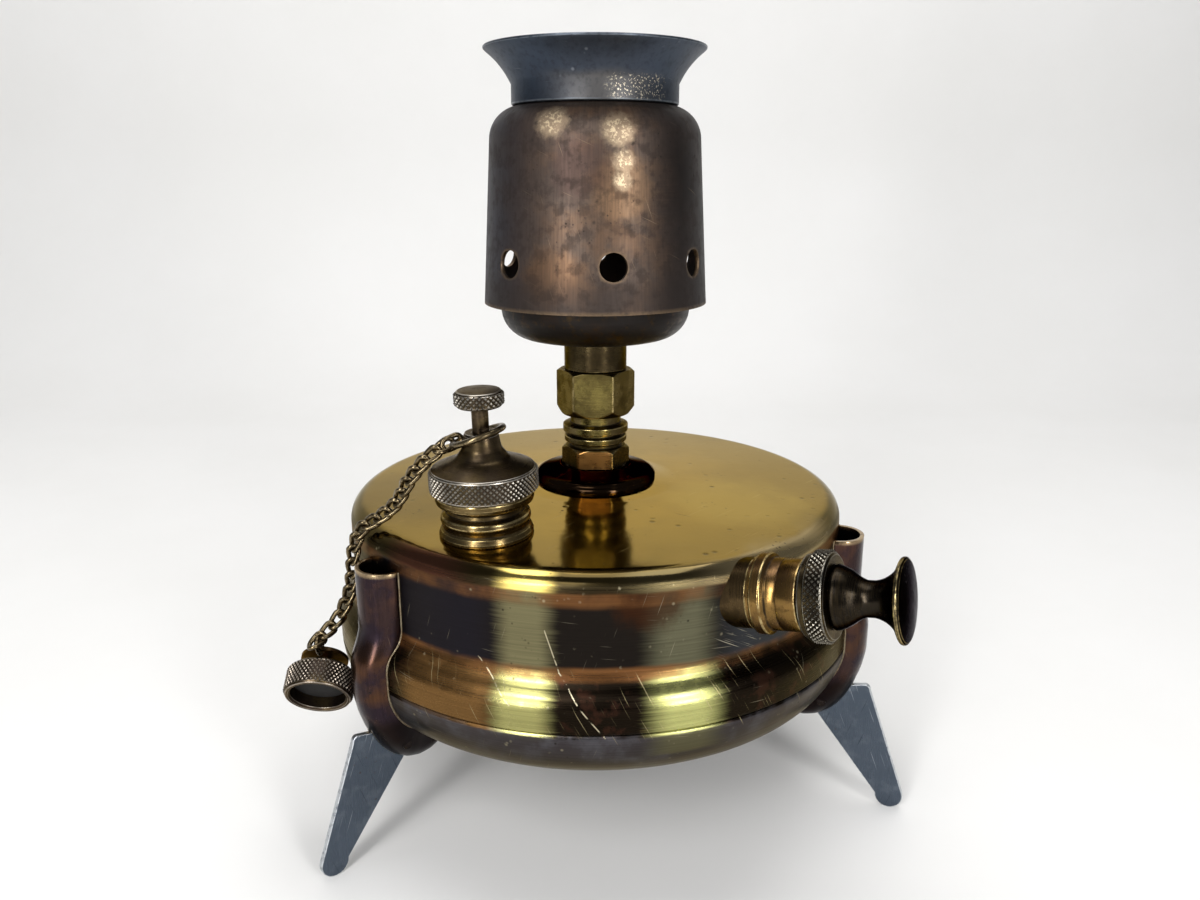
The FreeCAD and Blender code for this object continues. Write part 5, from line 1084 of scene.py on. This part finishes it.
def shroud_outline():
    """The shroud's outside from its foot up to the mouth."""
    side = [(22.98 - 1.88 * step / 40, 106.1 + 32.9 * step / 40) for step in range(40)]
    crown = bend((21.1, 139.0), (15.5, 144.6), 6.6, 1, 14)
    return side + [(r, z) for r, z, _ in crown] + [(15.4, 144.601)]


class STOVE_OT_burner(bpy.types.Operator):
    """Make the burner's stem, the spirit cup, the draught shroud and the flame funnel"""
    bl_idname = "stove.burner"
    bl_label = "Burner"

    def execute(self, context):
        settings = context.scene.stove_burner
        edge = settings.edge / MM
        # The stem's dark brass and near-black film are painted dark reflection, darker than the other turned
        # brass.
        brass = turned_brass(context.scene.stove_fitting, "painted_dark_stem_brass", "#463C28", "#1E1811", 0.2)
        stem = [
            (1.6, 85.55), (4.2, 85.55), (5.4, 86.8), (5.4, 89.4), (4.6, 89.4), (4.6, 92.0), (6.6, 92.0),
            (6.6, 98.7), (4.0, 98.7), (4.0, 99.8), (1.6, 99.8)]
        turned("burner_stem", soften(stem, edge), "burner", "fitting_brass", brass)
        cup = [(4.05, 98.75, 0), (13.4, 98.75, 0), *bend((13.4, 98.75), (19.55, 104.3), 6.27, 1, 10)[1:],
               (19.55, 107.3, 0.3), (18.75, 107.3, 0.3), *bend((13.4, 99.5), (18.75, 104.3), 5.5, 1, 8)[::-1],
               (4.05, 99.5, 0)]
        turned("spirit_cup", soften(cup, edge), "burner", "oxidised_brass", sooty_brass(settings))
        holes = [8.9, 58.2, 120.0, 180.0, 240.0, 312.5]
        sheet = holed_sheet("draught_shroud", shroud_outline(), holes, settings.hole / MM, 115.0)
        seat(rimmed("draught_shroud", sheet, 0.14, 2, 50, 0.8 * MM), "draught_shroud", "oxidised_brass",
             browned_brass(settings), "draught_shroud")
        outside = bend((16.6, 148.6), (21.5, 154.7), 16.0, -1, 12)
        inside = bend((15.8, 148.8), (20.7, 155.5), 15.2, -1, 12)
        funnel = [(14.5, 141.6), (15.3, 141.6), (15.3, 144.65, 0.1), (16.6, 144.65, 0.35), *outside,
                  (21.9, 155.1, 0.2), (21.9, 155.5, 0.2), *inside[::-1], (15.8, 145.45, 0.2),
                  (14.5, 145.45, 0.2)]
        turned("flame_funnel", soften(funnel, edge), "flame_funnel", "blued_steel", blued_steel(settings),
               segments=224)
        return {"FINISHED"}


# ---- filler

class STOVE_OT_filler(bpy.types.Operator):
    """Make the filler's collar, its knurled cap and the air screw"""
    bl_idname = "stove.filler"
    bl_label = "Filler"

    def execute(self, context):
        settings = context.scene.stove_fitting
        edge = settings.edge / MM
        depth = settings.knurl
        brass = turned_brass(settings, "turned_collar_brass", "#746240", "#2A2016", 0.18)
        knurl = knurled_brass(settings)
        collar = [
            (5.9, 3.6), (6.9, 3.6), (6.9, 6.05), (8.9, 6.05, 0.2), (8.85, 6.7, 0.3), (8.5, 7.5, 0.3),
            (8.1, 7.9, 0.15), (8.2, 8.5, 0.3), (8.5, 9.3, 0.6), (8.3, 10.2, 0.5), (7.4, 10.9, 0.3),
            (7.25, 11.6, 0.15), (7.5, 12.0, 0.15), (9.1, 12.6, 0.4), (9.25, 13.3, 0.3), (9.25, 14.35, 0.3),
            (5.9, 14.35)]
        turned("filler_collar", soften(collar, edge), "root", "fitting_brass", brass, place=FILLER)
        rim = 10.2 - depth / MM
        cap = [
            (1.63, 8.45), (5.4, 8.45), (5.82, 8.9), (5.82, 15.4), (8.6, 15.4), (8.6, 14.45), (rim, 14.45, 0.3),
            (rim, 18.7, 0.3), (9.6, 19.0, 0.3), (5.0, 20.9, 2.2), (3.7, 22.6, 1.6), (3.2, 25.2, 0.3),
            (3.0, 25.65, 0.15), (1.63, 25.65)]
        turned("filler_cap", soften(cap, edge), "filler_cap", "knurled_brass", knurl, place=FILLER,
               teeth=knurled(10.2, 14.6, 18.75, 58, 7, depth, FILLER, knurl))
        head = 4.65 - depth / MM
        screw = [
            (0, 7.15), (1.55, 8.45), (1.55, 30.55, 0.2), (head - 0.2, 30.55), (head, 30.9), (head, 33.1),
            (head - 0.25, 33.5, 0.3), (2.2, 33.7, 0), (0, 33.75)]
        turned("air_screw", soften(screw, 0.15, closed=False), "air_screw", "knurled_brass", knurl,
               place=FILLER, segments=128, closed=False,
               teeth=knurled(4.65, 30.7, 33.3, 26, 4, depth, FILLER, knurl))
        return {"FINISHED"}


# ---- chain and blanking cap

# The chain's way, from the link on the neck ring to the one in the swivel's eye.
CHAIN_WAY = [
    (-28.00, -31.12, 83.28), (-30.33, -32.29, 82.10), (-34.70, -31.25, 77.20), (-37.54, -29.75, 71.70),
    (-41.27, -28.58, 68.40), (-45.30, -28.09, 66.10), (-47.09, -27.63, 61.50), (-47.50, -27.53, 57.20),
    (-48.03, -27.62, 53.40), (-49.52, -28.02, 49.60), (-51.28, -28.78, 46.40), (-53.94, -32.79, 44.56)]
# The two end links: middle, way along the link and way across it.
END_LINKS = [
    ((-26.57, -30.46, 83.82), (-0.86, -0.40, -0.32), (-0.40, 0.12, 0.91)),
    ((-53.94, -31.86, 43.18), (0.00, -0.56, 0.83), (0.00, 0.83, 0.56))]
# The curve is a little shorter than the lines between its points, and links overlap by two wires and a gap.
CURVE_SHARE, LINK_GAP = 0.985, 0.05
# How much thicker the tarnished neck ring's wire is than the frame's, as a radius.
RING_GROWTH = 0.16


def curb_link(name, long, wide, wire, twist, around=30, section=10):
    """A link of round wire along X, its two ends turned against each other by twist."""
    bow = wide / 2 - wire
    straight = long / 2 - wire - bow
    half = 2 * straight + math.pi * bow
    up = Vector((0, 0, 1))
    middle = []
    for number in range(around):
        place = 2 * half * number / around
        side = 1 if place < half else -1
        place -= 0 if side > 0 else half
        angle = math.pi / 2 - max(place - 2 * straight, 0) / bow
        x = min(place, 2 * straight) - straight + bow * math.cos(angle)
        middle.append(Vector((side * x, side * bow * math.sin(angle), 0)))
    spots, faces = [], []
    for number, here in enumerate(middle):
        along = (middle[(number + 1) % around] - middle[number - 1]).normalized()
        out = along.cross(up)
        for step in range(section):
            angle = TURN * step / section
            point = here + (out * math.cos(angle) + up * math.sin(angle)) * wire
            turn = twist * max(-0.5, min(0.5, point.x / (long - 2 * wire)))
            spots.append(Matrix.Rotation(turn, 3, "X") @ point)
            after, beside = (number + 1) % around, (step + 1) % section
            faces.append((number * section + step, number * section + beside, after * section + beside,
                          after * section + step))
    return mesh_of(name, spots, faces)


class STOVE_OT_chain(bpy.types.Operator):
    """Make the chain: curb links along its way, an open link at each end, and the neck ring that holds it"""
    bl_idname = "stove.chain"
    bl_label = "Chain"

    def execute(self, context):
        settings = context.scene.stove_chain
        brass = drawn_wire("drawn_brass_wire", settings.brass, "#3A3122")
        wire, long, wide = settings.wire / MM, settings.long / MM, settings.wide / MM
        link = piece("link", curb_link("link", long, wide, wire, settings.twist))
        curve = bpy.data.curves.new("way", "CURVE")
        curve.dimensions = "3D"
        curve.resolution_u = 24
        spline = curve.splines.new("NURBS")
        spline.points.add(len(CHAIN_WAY) - 1)
        for point, spot in zip(spline.points, metres(CHAIN_WAY)):
            point.co = (*spot, 1)
        spline.order_u = 3
        spline.use_endpoint_u = True
        run = sum(math.dist(first, second) for first, second in zip(CHAIN_WAY, CHAIN_WAY[1:]))
        links = grown(piece("way", curve), chain_tree(), {
            "Links": round(run * CURVE_SHARE / (long - 4 * wire - LINK_GAP)), "Link": link,
            "Facing": (-0.25, -0.9, 0.35), "Material": brass})
        bpy.data.objects.remove(link)
        ends = []
        for middle, along, across in END_LINKS:
            end = curb_link("end_link", 4.9, 3.1, wire, 0.0)
            x, y = Vector(along).normalized(), Vector(across).normalized()
            z = x.cross(y).normalized()
            turn = Matrix((x, z.cross(x), z)).transposed().to_4x4()
            end.transform(Matrix.Translation(Vector(middle) * MM) @ turn)
            ends.append(end)
        made = piece("chain_links", joined("chain_links", links, *ends))
        seat(made, "root", "chain_brass", brass, "chain_links")
        mesh = frame["nodes"]["neck_ring"].data.copy()
        form = bmesh.new()
        form.from_mesh(mesh)
        bmesh.ops.remove_doubles(form, verts=form.verts, dist=0.001 * MM)
        form.normal_update()
        for vertex, normal in [(vertex, vertex.normal.copy()) for vertex in form.verts]:
            vertex.co += normal * RING_GROWTH * MM
        for face in form.faces:
            face.smooth = True
        form.to_mesh(mesh)
        form.free()
        seat(piece("neck_ring_wire", mesh), "root", "chain_brass", brass, "neck_ring")
        return {"FINISHED"}


class STOVE_OT_blanking_cap(bpy.types.Operator):
    """Make the blanking cap and its stud, and finish the swivel ring that holds the chain"""
    bl_idname = "stove.blanking_cap"
    bl_label = "Blanking cap"

    def execute(self, context):
        settings = context.scene.stove_fitting
        depth = settings.knurl * 0.7
        bronze = knurled_brass(settings, "knurled_bronze", "#9A9084", "#453A33", 0.28)
        plain = turned_brass(settings, "turned_bronze", "#7A6040", "#3E302A", 0.24)
        rim = 6.7 - depth / MM
        cap = [
            (0, 3.7), (5.3, 3.7), (5.3, 0.4, 0.1), (5.7, 0, 0.1), (rim - 0.2, 0, 0.2), (rim, 0.5, 0.1),
            (rim, 5.0, 0.3), (rim - 0.6, 5.6, 0.3), (1.35, 5.6), (1.35, 4.2), (0, 4.2)]
        turned("blanking_cap", soften(cap, 0.15, closed=False), "blanking_cap", "blanking_bronze", bronze,
               place=BLANK, closed=False, teeth=knurled(6.7, 0.3, 5.2, 48, 8, depth, BLANK, bronze))
        stud = [(0, 4.25), (1.3, 4.25), (1.3, 8.9), (2.1, 8.9), (2.1, 9.2, 0.4), (1.3, 9.85, 0.6), (0, 10.0)]
        turned("cap_stud", soften(stud, 0.12, closed=False), "blanking_cap", "blanking_bronze", plain,
               place=BLANK, segments=96, closed=False)
        finish(frame["nodes"]["swivel_ring"], plain)
        return {"FINISHED"}


# ---- pump

class STOVE_OT_pump(bpy.types.Operator):
    """Make the pump's boss, its knurled cap and the knob"""
    bl_idname = "stove.pump"
    bl_label = "Pump"

    def execute(self, context):
        settings = context.scene.stove_fitting
        edge = settings.edge / MM
        depth = settings.knurl
        red = turned_brass(settings, "cast_boss_brass", "#86683A", "#45302A", 0.18)
        dark = knurled_brass(settings, "blackened_knurled_brass", "#7E7A70", "#1E1A15", 0.22)
        # The knob's near-black brass is its own dark finish, painted darker still as painted dark reflection.
        knob = turned_brass(settings, "dark_and_reflection_painted_brass", "#262320", "#151312", 0.16, sheen="#98969A")
        shade = turned_brass(settings, "painted_shadow_boss_brass", "#4C3D28", "#1E1714", 0.22)
        boss = [
            (5.65, 57.0), (6.4, 57.0), (6.4, 57.8, 0.1), (7.2, 57.9, 0.4), (7.25, 59.9, 0.4), (6.45, 60.6, 0.4),
            (6.4, 62.2, 0), (6.25, 62.5, 0.1), (6.4, 62.8, 0), (6.4, 66.2, 0.3), (5.65, 66.2)]
        turned("pump_boss", soften(boss, edge), "root", "fitting_brass", red, place=PUMP)
        # A painted shadow: the boss's root, where it meets the wall, is brass painted dark.
        root = [(5.65, 52.0), (6.4, 52.0), (6.4, 57.1, 0.1), (5.65, 57.1)]
        turned("boss_root", soften(root, edge), "root", "fitting_brass", shade, nodes=[], place=PUMP)
        rim = 8.1 - depth / MM
        cap = [
            (5.68, 66.5), (7.3, 66.5, 0.3), (7.3, 67.6, 0.1), (rim, 67.8, 0.2), (rim, 70.9, 0.3),
            (rim - 0.5, 71.3, 0.2), (1.68, 71.3), (1.68, 69.5), (5.68, 69.5)]
        turned("pump_cap", soften(cap, edge), "pump_cap", "knurled_brass", dark, place=PUMP,
               teeth=knurled(8.1, 67.8, 71.0, 46, 5, depth, PUMP, dark))
        grip = [
            (0, 76.8), (1.65, 76.8, 0.1), (1.65, 71.35, 0.1), (5.4, 71.35, 0.3),
            *bend((5.7, 71.75), (4.0, 75.1), 8.1, 1, 6), *bend((4.0, 75.1), (3.15, 76.75), 5.4, -1, 4)[1:],
            *bend((3.15, 78.15), (5.4, 81.7), 5.5, -1, 6), (7.3, 82.6, 0.35), (7.3, 83.1, 0.2),
            (6.9, 83.4, 0.2), (3.5, 83.85, 0), (0, 83.95)]
        turned("pump_knob", soften(grip, edge, closed=False), "pump_rod", "knurled_brass", knob, place=PUMP,
               closed=False)
        return {"FINISHED"}


# ---- legs

def tank_gap(r, z):
    """How far a point, in mm, lies outside the tank; below 0 inside it."""
    best, sign = 1e9, 1
    here = Vector((r, z))
    outline = [Vector(point[:2]) for point in TANK_OUTSIDE] + [Vector((5.65, 68.0))]
    for start, end in zip(outline, outline[1:]):
        step = end - start
        share = max(0.0, min(1.0, (here - start).dot(step) / max(step.length_squared, 1e-12)))
        off = here - (start + step * share)
        if off.length < best:
            best = off.length
            sign = 1 if step.cross(here - start) < 0 else -1
    return best * sign


def sleeve_stations():
    """Down the wall and round the pan's corner: place, height, tilt and half width of each section."""
    half, wall, far, corner, centre, seam = 5.2, 57.8, 60.0, 12.5, 43.5, 38.0
    stations = [(wall, 61.0 - 0.9 * step, 0.0, half) for step in range(13)]
    for step in range(11):
        share = 1 - step / 10
        ease = share ** 2 * (3 - 2 * share)
        stations.append((far - (far - wall) * ease, 41.5 + 8 * share, 0.0, half))
    # Round the corner: degrees, and the distance from the pan and the half width as shares.
    nose = [(0, 1.0, 1.0), (15, 1.03, 1.0), (28, 1.13, 1.0), (40, 1.33, 0.97), (50, 1.55, 0.91),
            (60, 1.71, 0.82), (68, 1.78, 0.72), (76, 1.75, 0.59), (84, 1.6, 0.46), (90, 1.4, 0.36),
            (95, 1.1, 0.27), (99, 0.6, 0.2)]
    for first, second in zip(nose, nose[1:]):
        for share in (0.0, 0.34, 0.67):
            tilt, far_share, wide_share = [a + (b - a) * share for a, b in zip(first, second)]
            tilt = math.radians(tilt)
            reach = corner + 4.0 * far_share
            stations.append((centre + reach * math.cos(tilt), seam - reach * math.sin(tilt), tilt,
                             half * wide_share))
    return stations


def section_point(station, way):
    """A point of a sleeve's U-shaped section: way runs from its crest, in mm along the section."""
    across, up, tilt, half = station
    quarter = half * math.pi / 2
    if abs(way) <= quarter:
        x, y = half * math.cos(way / half) - half, half * math.sin(way / half)
    else:
        x, y = -half - (abs(way) - quarter), math.copysign(half, way)
    return across + x * math.cos(tilt), y, up - x * math.sin(tilt)


# The slot for the foot: up to where it reaches, half its width in the skin, and half of it once it is a sheet.
SLOT_TOP, SLOT_HALF, SLOT_CLEAR = 28.6, 0.9, 0.78
# How near the tank the skin ends, how far it is searched for, and in what steps.
SKIN_GAP, SKIN_WAY, SKIN_STEP = 0.06, 14, 0.05


def sleeve_sheet(name):
    """The sleeve's outside, from the wall over the crest to the wall, with the foot's slot."""
    rows = []
    for station in sleeve_stations():
        way = 0.0
        while way < SKIN_WAY:
            x, y, z = section_point(station, way)
            if tank_gap(math.hypot(x, y), z) < SKIN_GAP:
                break
            way += SKIN_STEP
        slot = station[3] * math.asin(min(SLOT_HALF / station[3], 0.95))
        edge = max(way, slot + 0.1)
        out = [slot + (edge - slot) * step / 12 for step in range(13)]
        rows.append([section_point(station, value) for value in [-value for value in out[::-1]] + [0.0] + out])
    wide = len(rows[0])
    middle = wide // 2
    wear, faces = [], []
    for number, row in enumerate(rows):
        low = row[middle][2] < SLOT_TOP
        wear += [1.0 if number == 0 or low and abs(column - middle) == 1 else 0.0 for column in range(wide)]
        if number < len(rows) - 1:
            firsts = [number * wide + column for column in range(wide - 1)
                      if not (low and column in (middle - 1, middle))]
            faces += [(first + wide, first + wide + 1, first + 1, first) for first in firsts]
    edges = [[row[0] for row in rows], [row[-1] for row in rows]]
    return mesh_of(name, [point for row in rows for point in row], faces, wear), edges


def foot_outline():
    """The foot's plate in its leg's plane."""
    return (bend((64.1, 2.9), (67, 0), 2.9, 1, 6) + bend((67, 0), (69.72, 3.8), 2.9, 1, 8)[1:]
            + bend((61.5, 26.9), (60.5, 28.1), 1.2, 1, 5) + bend((52.9, 26.8), (49.4, 24.4), 3.25, 1, 8)
            + [(50.2, 20.6, 0)])


# Half the thickness of a foot's plate, and how much of it its worn, rounded edge leaves flat.
PLATE_HALF, PLATE_FLAT = 0.6, 0.58
# The largest face of the rounding, which is shaded smooth, in square metres.
ROUNDING_FACE = 2e-6


class STOVE_OT_legs(bpy.types.Operator):
    """Make the three sleeves with their solder, and the three feet"""
    bl_idname = "stove.legs"
    bl_label = "Legs"

    def execute(self, context):
        settings = context.scene.stove_leg
        patina = patinated_brass(settings)
        solder = soft_solder(settings)
        steel = plated_steel(settings)
        for number in range(1, LEGS + 1):
            place = leg_place(number)
            sheet, edges = sleeve_sheet("leg_sleeve")
            made = rimmed("leg_sleeve_%d_skin" % number, sheet, 0.16, 2, 50, settings.sheet)
            for vertex in made.data.vertices:
                if vertex.co.z < (SLOT_TOP + 0.1) * MM and abs(vertex.co.y) < SLOT_CLEAR * MM:
                    vertex.co.y = math.copysign(SLOT_CLEAR * MM, vertex.co.y)
            made.data.transform(place)
            seat(made, "root", "sleeve_brass", patina, "leg_sleeve_%d" % number)
            beads = joined("sleeve_solder", *[bead(edge[:-6], place, settings.bead, solder) for edge in edges])
            seat(piece("sleeve_solder_%d" % number, beads), "root", "sleeve_brass", solder)
            self.foot(number, place, steel)
        return {"FINISHED"}

    def foot(self, number, place, steel):
        outline = foot_outline()
        count = len(outline)
        spots = [(x, side * PLATE_HALF, z) for side in (-1, 1) for x, z, _ in outline]
        faces = [list(range(count)), list(range(2 * count - 1, count - 1, -1))]
        faces += [(index, count + index, count + (index + 1) % count, (index + 1) % count)
                  for index in range(count)]
        flat = [(spots[corner][0], spots[corner][2]) for face in faces for corner in face]
        made = rimmed("foot_%d_plate" % number, mesh_of("foot", spots, faces, uv=flat), 0.22, 3, 60)
        for vertex, edge in zip(made.data.vertices, made.data.attributes["edge"].data):
            edge.value = 1.0 if abs(vertex.co.y) < PLATE_FLAT * MM else 0.0
        made.data.transform(place)
        for face in made.data.polygons:
            face.use_smooth = face.area < ROUNDING_FACE
        seat(made, "foot_%d" % number, "foot_steel", steel, "foot_%d" % number)


# ---- inner parts

class STOVE_OT_inner_parts(bpy.types.Operator):
    """Give the frame's own nodes that stay in sight their finishes"""
    bl_idname = "stove.inner_parts"
    bl_label = "Inner parts"

    def execute(self, context):
        burner = context.scene.stove_burner
        finishes = {
            "fitting_brass": turned_brass(context.scene.stove_fitting, "inner_turned_brass"),
            "oxidised_brass": sooty_brass(burner, "inner_sooty_brass"),
            "burnt_steel": burnt_steel(),
            "spring_steel": drawn_wire("drawn_steel_wire", "#66625C", "#3A3632"),
            "seal_leather": oiled_leather(),
            "seal_rubber": black_rubber(),
        }
        # Painted shade: the foot pins are painted near black, so that their heads in the sleeves' noses show no
        # highlight.
        shaded_pin = drawn_wire("painted_shade_pin_wire", "#2C2624", "#1A1615")
        self.valve_coil(finishes["spring_steel"])
        slots = {part["node"]: part["material_slot"] for part in frame["record"]["subparts"]}
        for name, node in frame["nodes"].items():
            if not node.hide_render and slots[name] in finishes:
                finish(node, shaded_pin if name == "foot_pins" else finishes[slots[name]])
        return {"FINISHED"}

    def valve_coil(self, steel):
        """The valve's spring, as a piece of its own with a mesh of its own."""
        mesh = frame["nodes"]["valve_spring"].data.copy()
        made = seat(piece("valve_coil", mesh), "root", "spring_steel", steel, "valve_spring")
        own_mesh(made)


# ---- stage

def lamp(name, spot, aim, wide, tall, watts):
    """A soft rectangular lamp at a spot in metres, turned towards another."""
    light = bpy.data.lights.new(name, "AREA")
    light.shape = "RECTANGLE"
    light.size, light.size_y, light.energy = wide, tall, watts
    made = piece(name, light)
    made.location = spot
    made.rotation_euler = (Vector(aim) - Vector(spot)).to_track_quat("-Z", "Y").to_euler()


# The floor's ends, where it starts to rise, and the radius in which it does, in metres.
FLOOR_NEAR, FLOOR_BEND, FLOOR_RADIUS, FLOOR_WIDE, WALL_HIGH = -1.2, 0.34, 0.16, 1.5, 1.3


class STOVE_OT_stage(bpy.types.Operator):
    """Make the floor and backdrop, the lamps and the camera"""
    bl_idname = "stove.stage"
    bl_label = "Stage"

    def execute(self, context):
        settings = context.scene.stove_stage
        side = [(FLOOR_NEAR, 0), (FLOOR_BEND, 0)] + [
            (FLOOR_BEND + FLOOR_RADIUS * math.sin(angle), FLOOR_RADIUS - FLOOR_RADIUS * math.cos(angle))
            for angle in (math.radians(degrees) for degrees in range(6, 91, 6))]
        side.append((FLOOR_BEND + FLOOR_RADIUS, WALL_HIGH))
        spots = [(end * FLOOR_WIDE / MM, depth / MM, height / MM) for depth, height in side for end in (-1, 1)]
        faces = [(first, first + 1, first + 3, first + 2) for first in range(0, 2 * len(side) - 2, 2)]
        floor = piece("stage_floor", mesh_of("stage_floor", spots, faces))
        floor.data.materials.append(stage_paint(settings))
        world = bpy.data.worlds.new("room")
        world.use_nodes = True
        ground = world.node_tree.nodes["Background"].inputs
        ground["Color"].default_value = (*settings.world, 1)
        ground["Strength"].default_value = 1.0
        context.scene.world = world
        lamp("key", (-0.35, -0.75, 0.75), (0, 0, 0.08), 0.5, 0.5, 4.0)
        lamp("strip_left", (-0.25, -0.49, 0.22), (0, 0, 0.08), 0.07, 0.4, 1.6)
        lamp("strip_right", (0.31, -0.47, 0.22), (0, 0, 0.08), 0.08, 0.4, 1.6)
        lamp("top", (0.0, 0.12, 0.9), (0, 0.12, 0), 0.7, 0.5, 4.5)
        lens = bpy.data.cameras.new("view")
        lens.sensor_fit = "HORIZONTAL"
        lens.sensor_width, lens.lens, lens.clip_start = 36, 29.4, 0.01
        made = piece("camera", lens)
        turn = Matrix.Rotation(math.radians(-0.27), 4, "Z") @ Matrix.Rotation(math.radians(90 - 15.72), 4, "X")
        made.matrix_world = Matrix.Translation((0, -0.2057, 0.13165)) @ turn
        context.scene.camera = made
        context.scene.view_settings.view_transform = "Standard"
        return {"FINISHED"}


# ---- panel and run

OPERATORS = [
    STOVE_OT_tank, STOVE_OT_riser, STOVE_OT_burner, STOVE_OT_filler, STOVE_OT_chain, STOVE_OT_blanking_cap,
    STOVE_OT_pump, STOVE_OT_legs, STOVE_OT_inner_parts, STOVE_OT_stage]


class STOVE_PT_panel(bpy.types.Panel):
    """The stove's pieces and their settings"""
    bl_label = "Pressure stove"
    bl_space_type = "VIEW_3D"
    bl_region_type = "UI"
    bl_category = "Stove"

    def draw(self, context):
        for operator in OPERATORS:
            self.layout.operator(operator.bl_idname)
        for group, kind in GROUPS.items():
            box = self.layout.box()
            box.label(text=kind.__name__.replace("Settings", ""))
            for name in kind.__annotations__:
                box.prop(getattr(context.scene, group), name)


def register():
    for kind in [*GROUPS.values(), *OPERATORS, STOVE_PT_panel]:
        bpy.utils.register_class(kind)
    for name, kind in GROUPS.items():
        setattr(bpy.types.Scene, name, bpy.props.PointerProperty(type=kind))


def unregister():
    for name in GROUPS:
        delattr(bpy.types.Scene, name)
    for kind in reversed([*GROUPS.values(), *OPERATORS, STOVE_PT_panel]):
        bpy.utils.unregister_class(kind)


def main():
    register()
    for operator in OPERATORS:
        area, name = operator.bl_idname.split(".")
        getattr(getattr(bpy.ops, area), name)()


if __name__ == "__main__":
    main()
